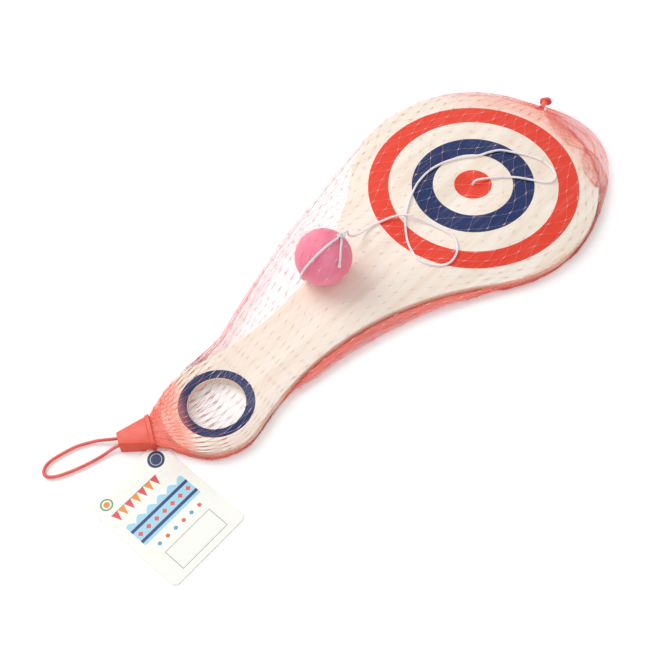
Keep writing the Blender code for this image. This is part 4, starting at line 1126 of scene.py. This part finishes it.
def make_clip():
    """The clip's plate, and its cover: a tapered block with rounded edges, opened below and at both ends,
    with a raised lip round its mouth."""
    plastic = orange_red_plastic()
    plate = eased_copy("clip_plate", "clip_back", plastic, 0.0003)
    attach(plate, "clip")

    bm = bmesh.new()
    bmesh.ops.create_grid(bm, x_segments=1, y_segments=1, size=1.0)
    for vert in bm.verts:
        x = (1 + vert.co.x) / 2 * (CLIP_LENGTH + 2 * CLIP_PAST) - CLIP_PAST
        vert.co = (x, math.copysign(clip_half_width(x), vert.co.y), CLIP_PLATE + GAP)
    risen = bmesh.ops.extrude_face_region(bm, geom=bm.faces[:])
    for vert in (v for v in risen["geom"] if isinstance(v, bmesh.types.BMVert)):
        vert.co.z = CLIP_HEIGHT
        vert.co.y -= math.copysign(CLIP_DRAFT, vert.co.y)
    upright = [e for e in bm.edges if abs(e.verts[0].co.z - e.verts[1].co.z) > 0.001 and e.verts[0].co.x > 0]
    round_off(bm, upright, 0.0024, 5)
    top = [e for e in bm.edges if all(v.co.z > CLIP_HEIGHT - 0.00001 for v in e.verts)]
    round_off(bm, top, 0.0007, 3)
    bmesh.ops.delete(bm, geom=[f for f in bm.faces if f.normal.z < -0.9], context="FACES")
    slice_at(bm, (0, 0, 0), (1, 0, 0), clear_inner=True)
    slice_at(bm, (CLIP_LENGTH, 0, 0), (1, 0, 0), clear_outer=True)
    for x in (CLIP_LIP, CLIP_LIP + 0.0004):
        slice_at(bm, (x, 0, 0), (1, 0, 0))
    for vert in bm.verts:
        if vert.co.x < CLIP_LIP + 0.0001:
            vert.co.y *= 1 + CLIP_LIP_RISE / (CLIP_MOUTH_WIDTH / 2)
            if vert.co.z > CLIP_HEIGHT - 0.001:
                vert.co.z += CLIP_LIP_RISE
    bmesh.ops.solidify(bm, geom=bm.faces[:], thickness=CLIP_WALL)
    bmesh.ops.transform(bm, matrix=CLIP_FRAME, verts=bm.verts)
    bmesh.ops.recalc_face_normals(bm, faces=bm.faces)
    cap = shade_round(mesh_object("clip_cover", bm, plastic), 30)
    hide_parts("clip_cap")
    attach(cap, "cap")


def make_hang_loop():
    sides = (LOOP_SPREAD / 2, -LOOP_SPREAD / 2)
    inner = [clip_point(CLIP_LENGTH - 0.003, side, LOOP_HEIGHT) for side in sides]
    near, far = (clip_point(CLIP_LENGTH + 0.0004, side, LOOP_HEIGHT) for side in sides)
    lying = [Vector((x, y, LOOP_DIAMETER / 2 + GAP + sum(rise))) for x, y, *rise in LOOP_ROUTE]
    points = smooth_route([inner[0], near, *lying, far, inner[1]], 0.6 * LOOP_DIAMETER)
    loop = tubes("loop", [(points, LOOP_DIAMETER / 2)], red_loop_plastic(route_length(points)), 12)
    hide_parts("hang_loop", "loop_root")
    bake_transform(loop)


def make_tag():
    card = printed_card()
    for node, name, body in (("hang_tag", "tag_card", "tag"), ("tag_corner", "tag_held_corner", "clip")):
        piece = eased_copy(node, name, card, 0.00008, 1)
        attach(piece, body)


def seen_directly(tree):
    """1 for what the camera sees, and for what is seen in a gloss or through a clear thing."""
    path = add_node(tree, "ShaderNodeLightPath")
    seen = Pattern(tree, path.outputs["Is Camera Ray"])
    for ray in ("Is Glossy Ray", "Is Transmission Ray"):
        seen = seen.maths("MAXIMUM", Pattern(tree, path.outputs[ray]))
    return seen


def make_stage():
    """A pale floor that keeps the toy's shadow, and white all round it."""
    pale = Finish("pale_floor", (250, 250, 250), 0.9)
    x, y, _ = pale.place().split()
    lift = distance(x, y).ramp(*FAR_FLOOR, FLOOR_LIFT, FAR_FLOOR_LIFT)
    pale.set({"Emission Color": (1, 1, 1, 1), "Emission Strength": seen_directly(pale.tree) * lift})
    bm = bmesh.new()
    bmesh.ops.create_grid(bm, x_segments=1, y_segments=1, size=3.0)
    floor = mesh_object("floor", bm, pale.material)
    floor.location = (0, 0, -0.0002)

    world = bpy.data.worlds.new("white_room")
    bpy.context.scene.world = world
    world.use_nodes = True
    tree = world.node_tree
    both = add_node(tree, "ShaderNodeMixShader")
    feed(both, {0: seen_directly(tree)})
    rooms = ((tree.nodes["Background"], ROOM_LIGHT), (add_node(tree, "ShaderNodeBackground"), 1.0))
    for k, (room, strength) in enumerate(rooms):
        feed(room, {"Color": (1, 1, 1, 1), "Strength": strength})
        tree.links.new(room.outputs[0], both.inputs[k + 1])
    tree.links.new(both.outputs[0], tree.nodes["World Output"].inputs["Surface"])


def make_camera():
    camera = add_object("camera", bpy.data.cameras.new("camera"))
    camera.data.lens = CAMERA_LENS
    camera.data.sensor_width = 36.0
    aimed = pointed(CAMERA_PLACE, CAMERA_AIM - CAMERA_PLACE, "-Z")
    camera.matrix_world = aimed @ Matrix.Rotation(CAMERA_ROLL, 4, "Z")
    bpy.context.scene.camera = camera


def make_lamp(name, place, power, size):
    """A square lamp over the toy, aimed at its middle."""
    lamp = add_object(name, bpy.data.lights.new(name, "AREA"))
    lamp.data.energy = power
    lamp.data.size = size
    lamp.matrix_world = pointed(place, Vector((-0.08, 0, 0)) - place, "-Z")


def main():
    bpy.context.scene.view_settings.view_transform = "Standard"
    make_camera()
    make_stage()
    make_lamp("window", Vector((-0.25, 0.75, 0.85)), power=7.6, size=0.8)
    make_lamp("fill", Vector((-0.5, -0.7, 0.8)), power=1.6, size=0.9)
    cords = make_cords()
    make_paddle()
    make_ball()
    make_netting(cords)
    make_clip()
    make_hang_loop()
    make_tag()


main()
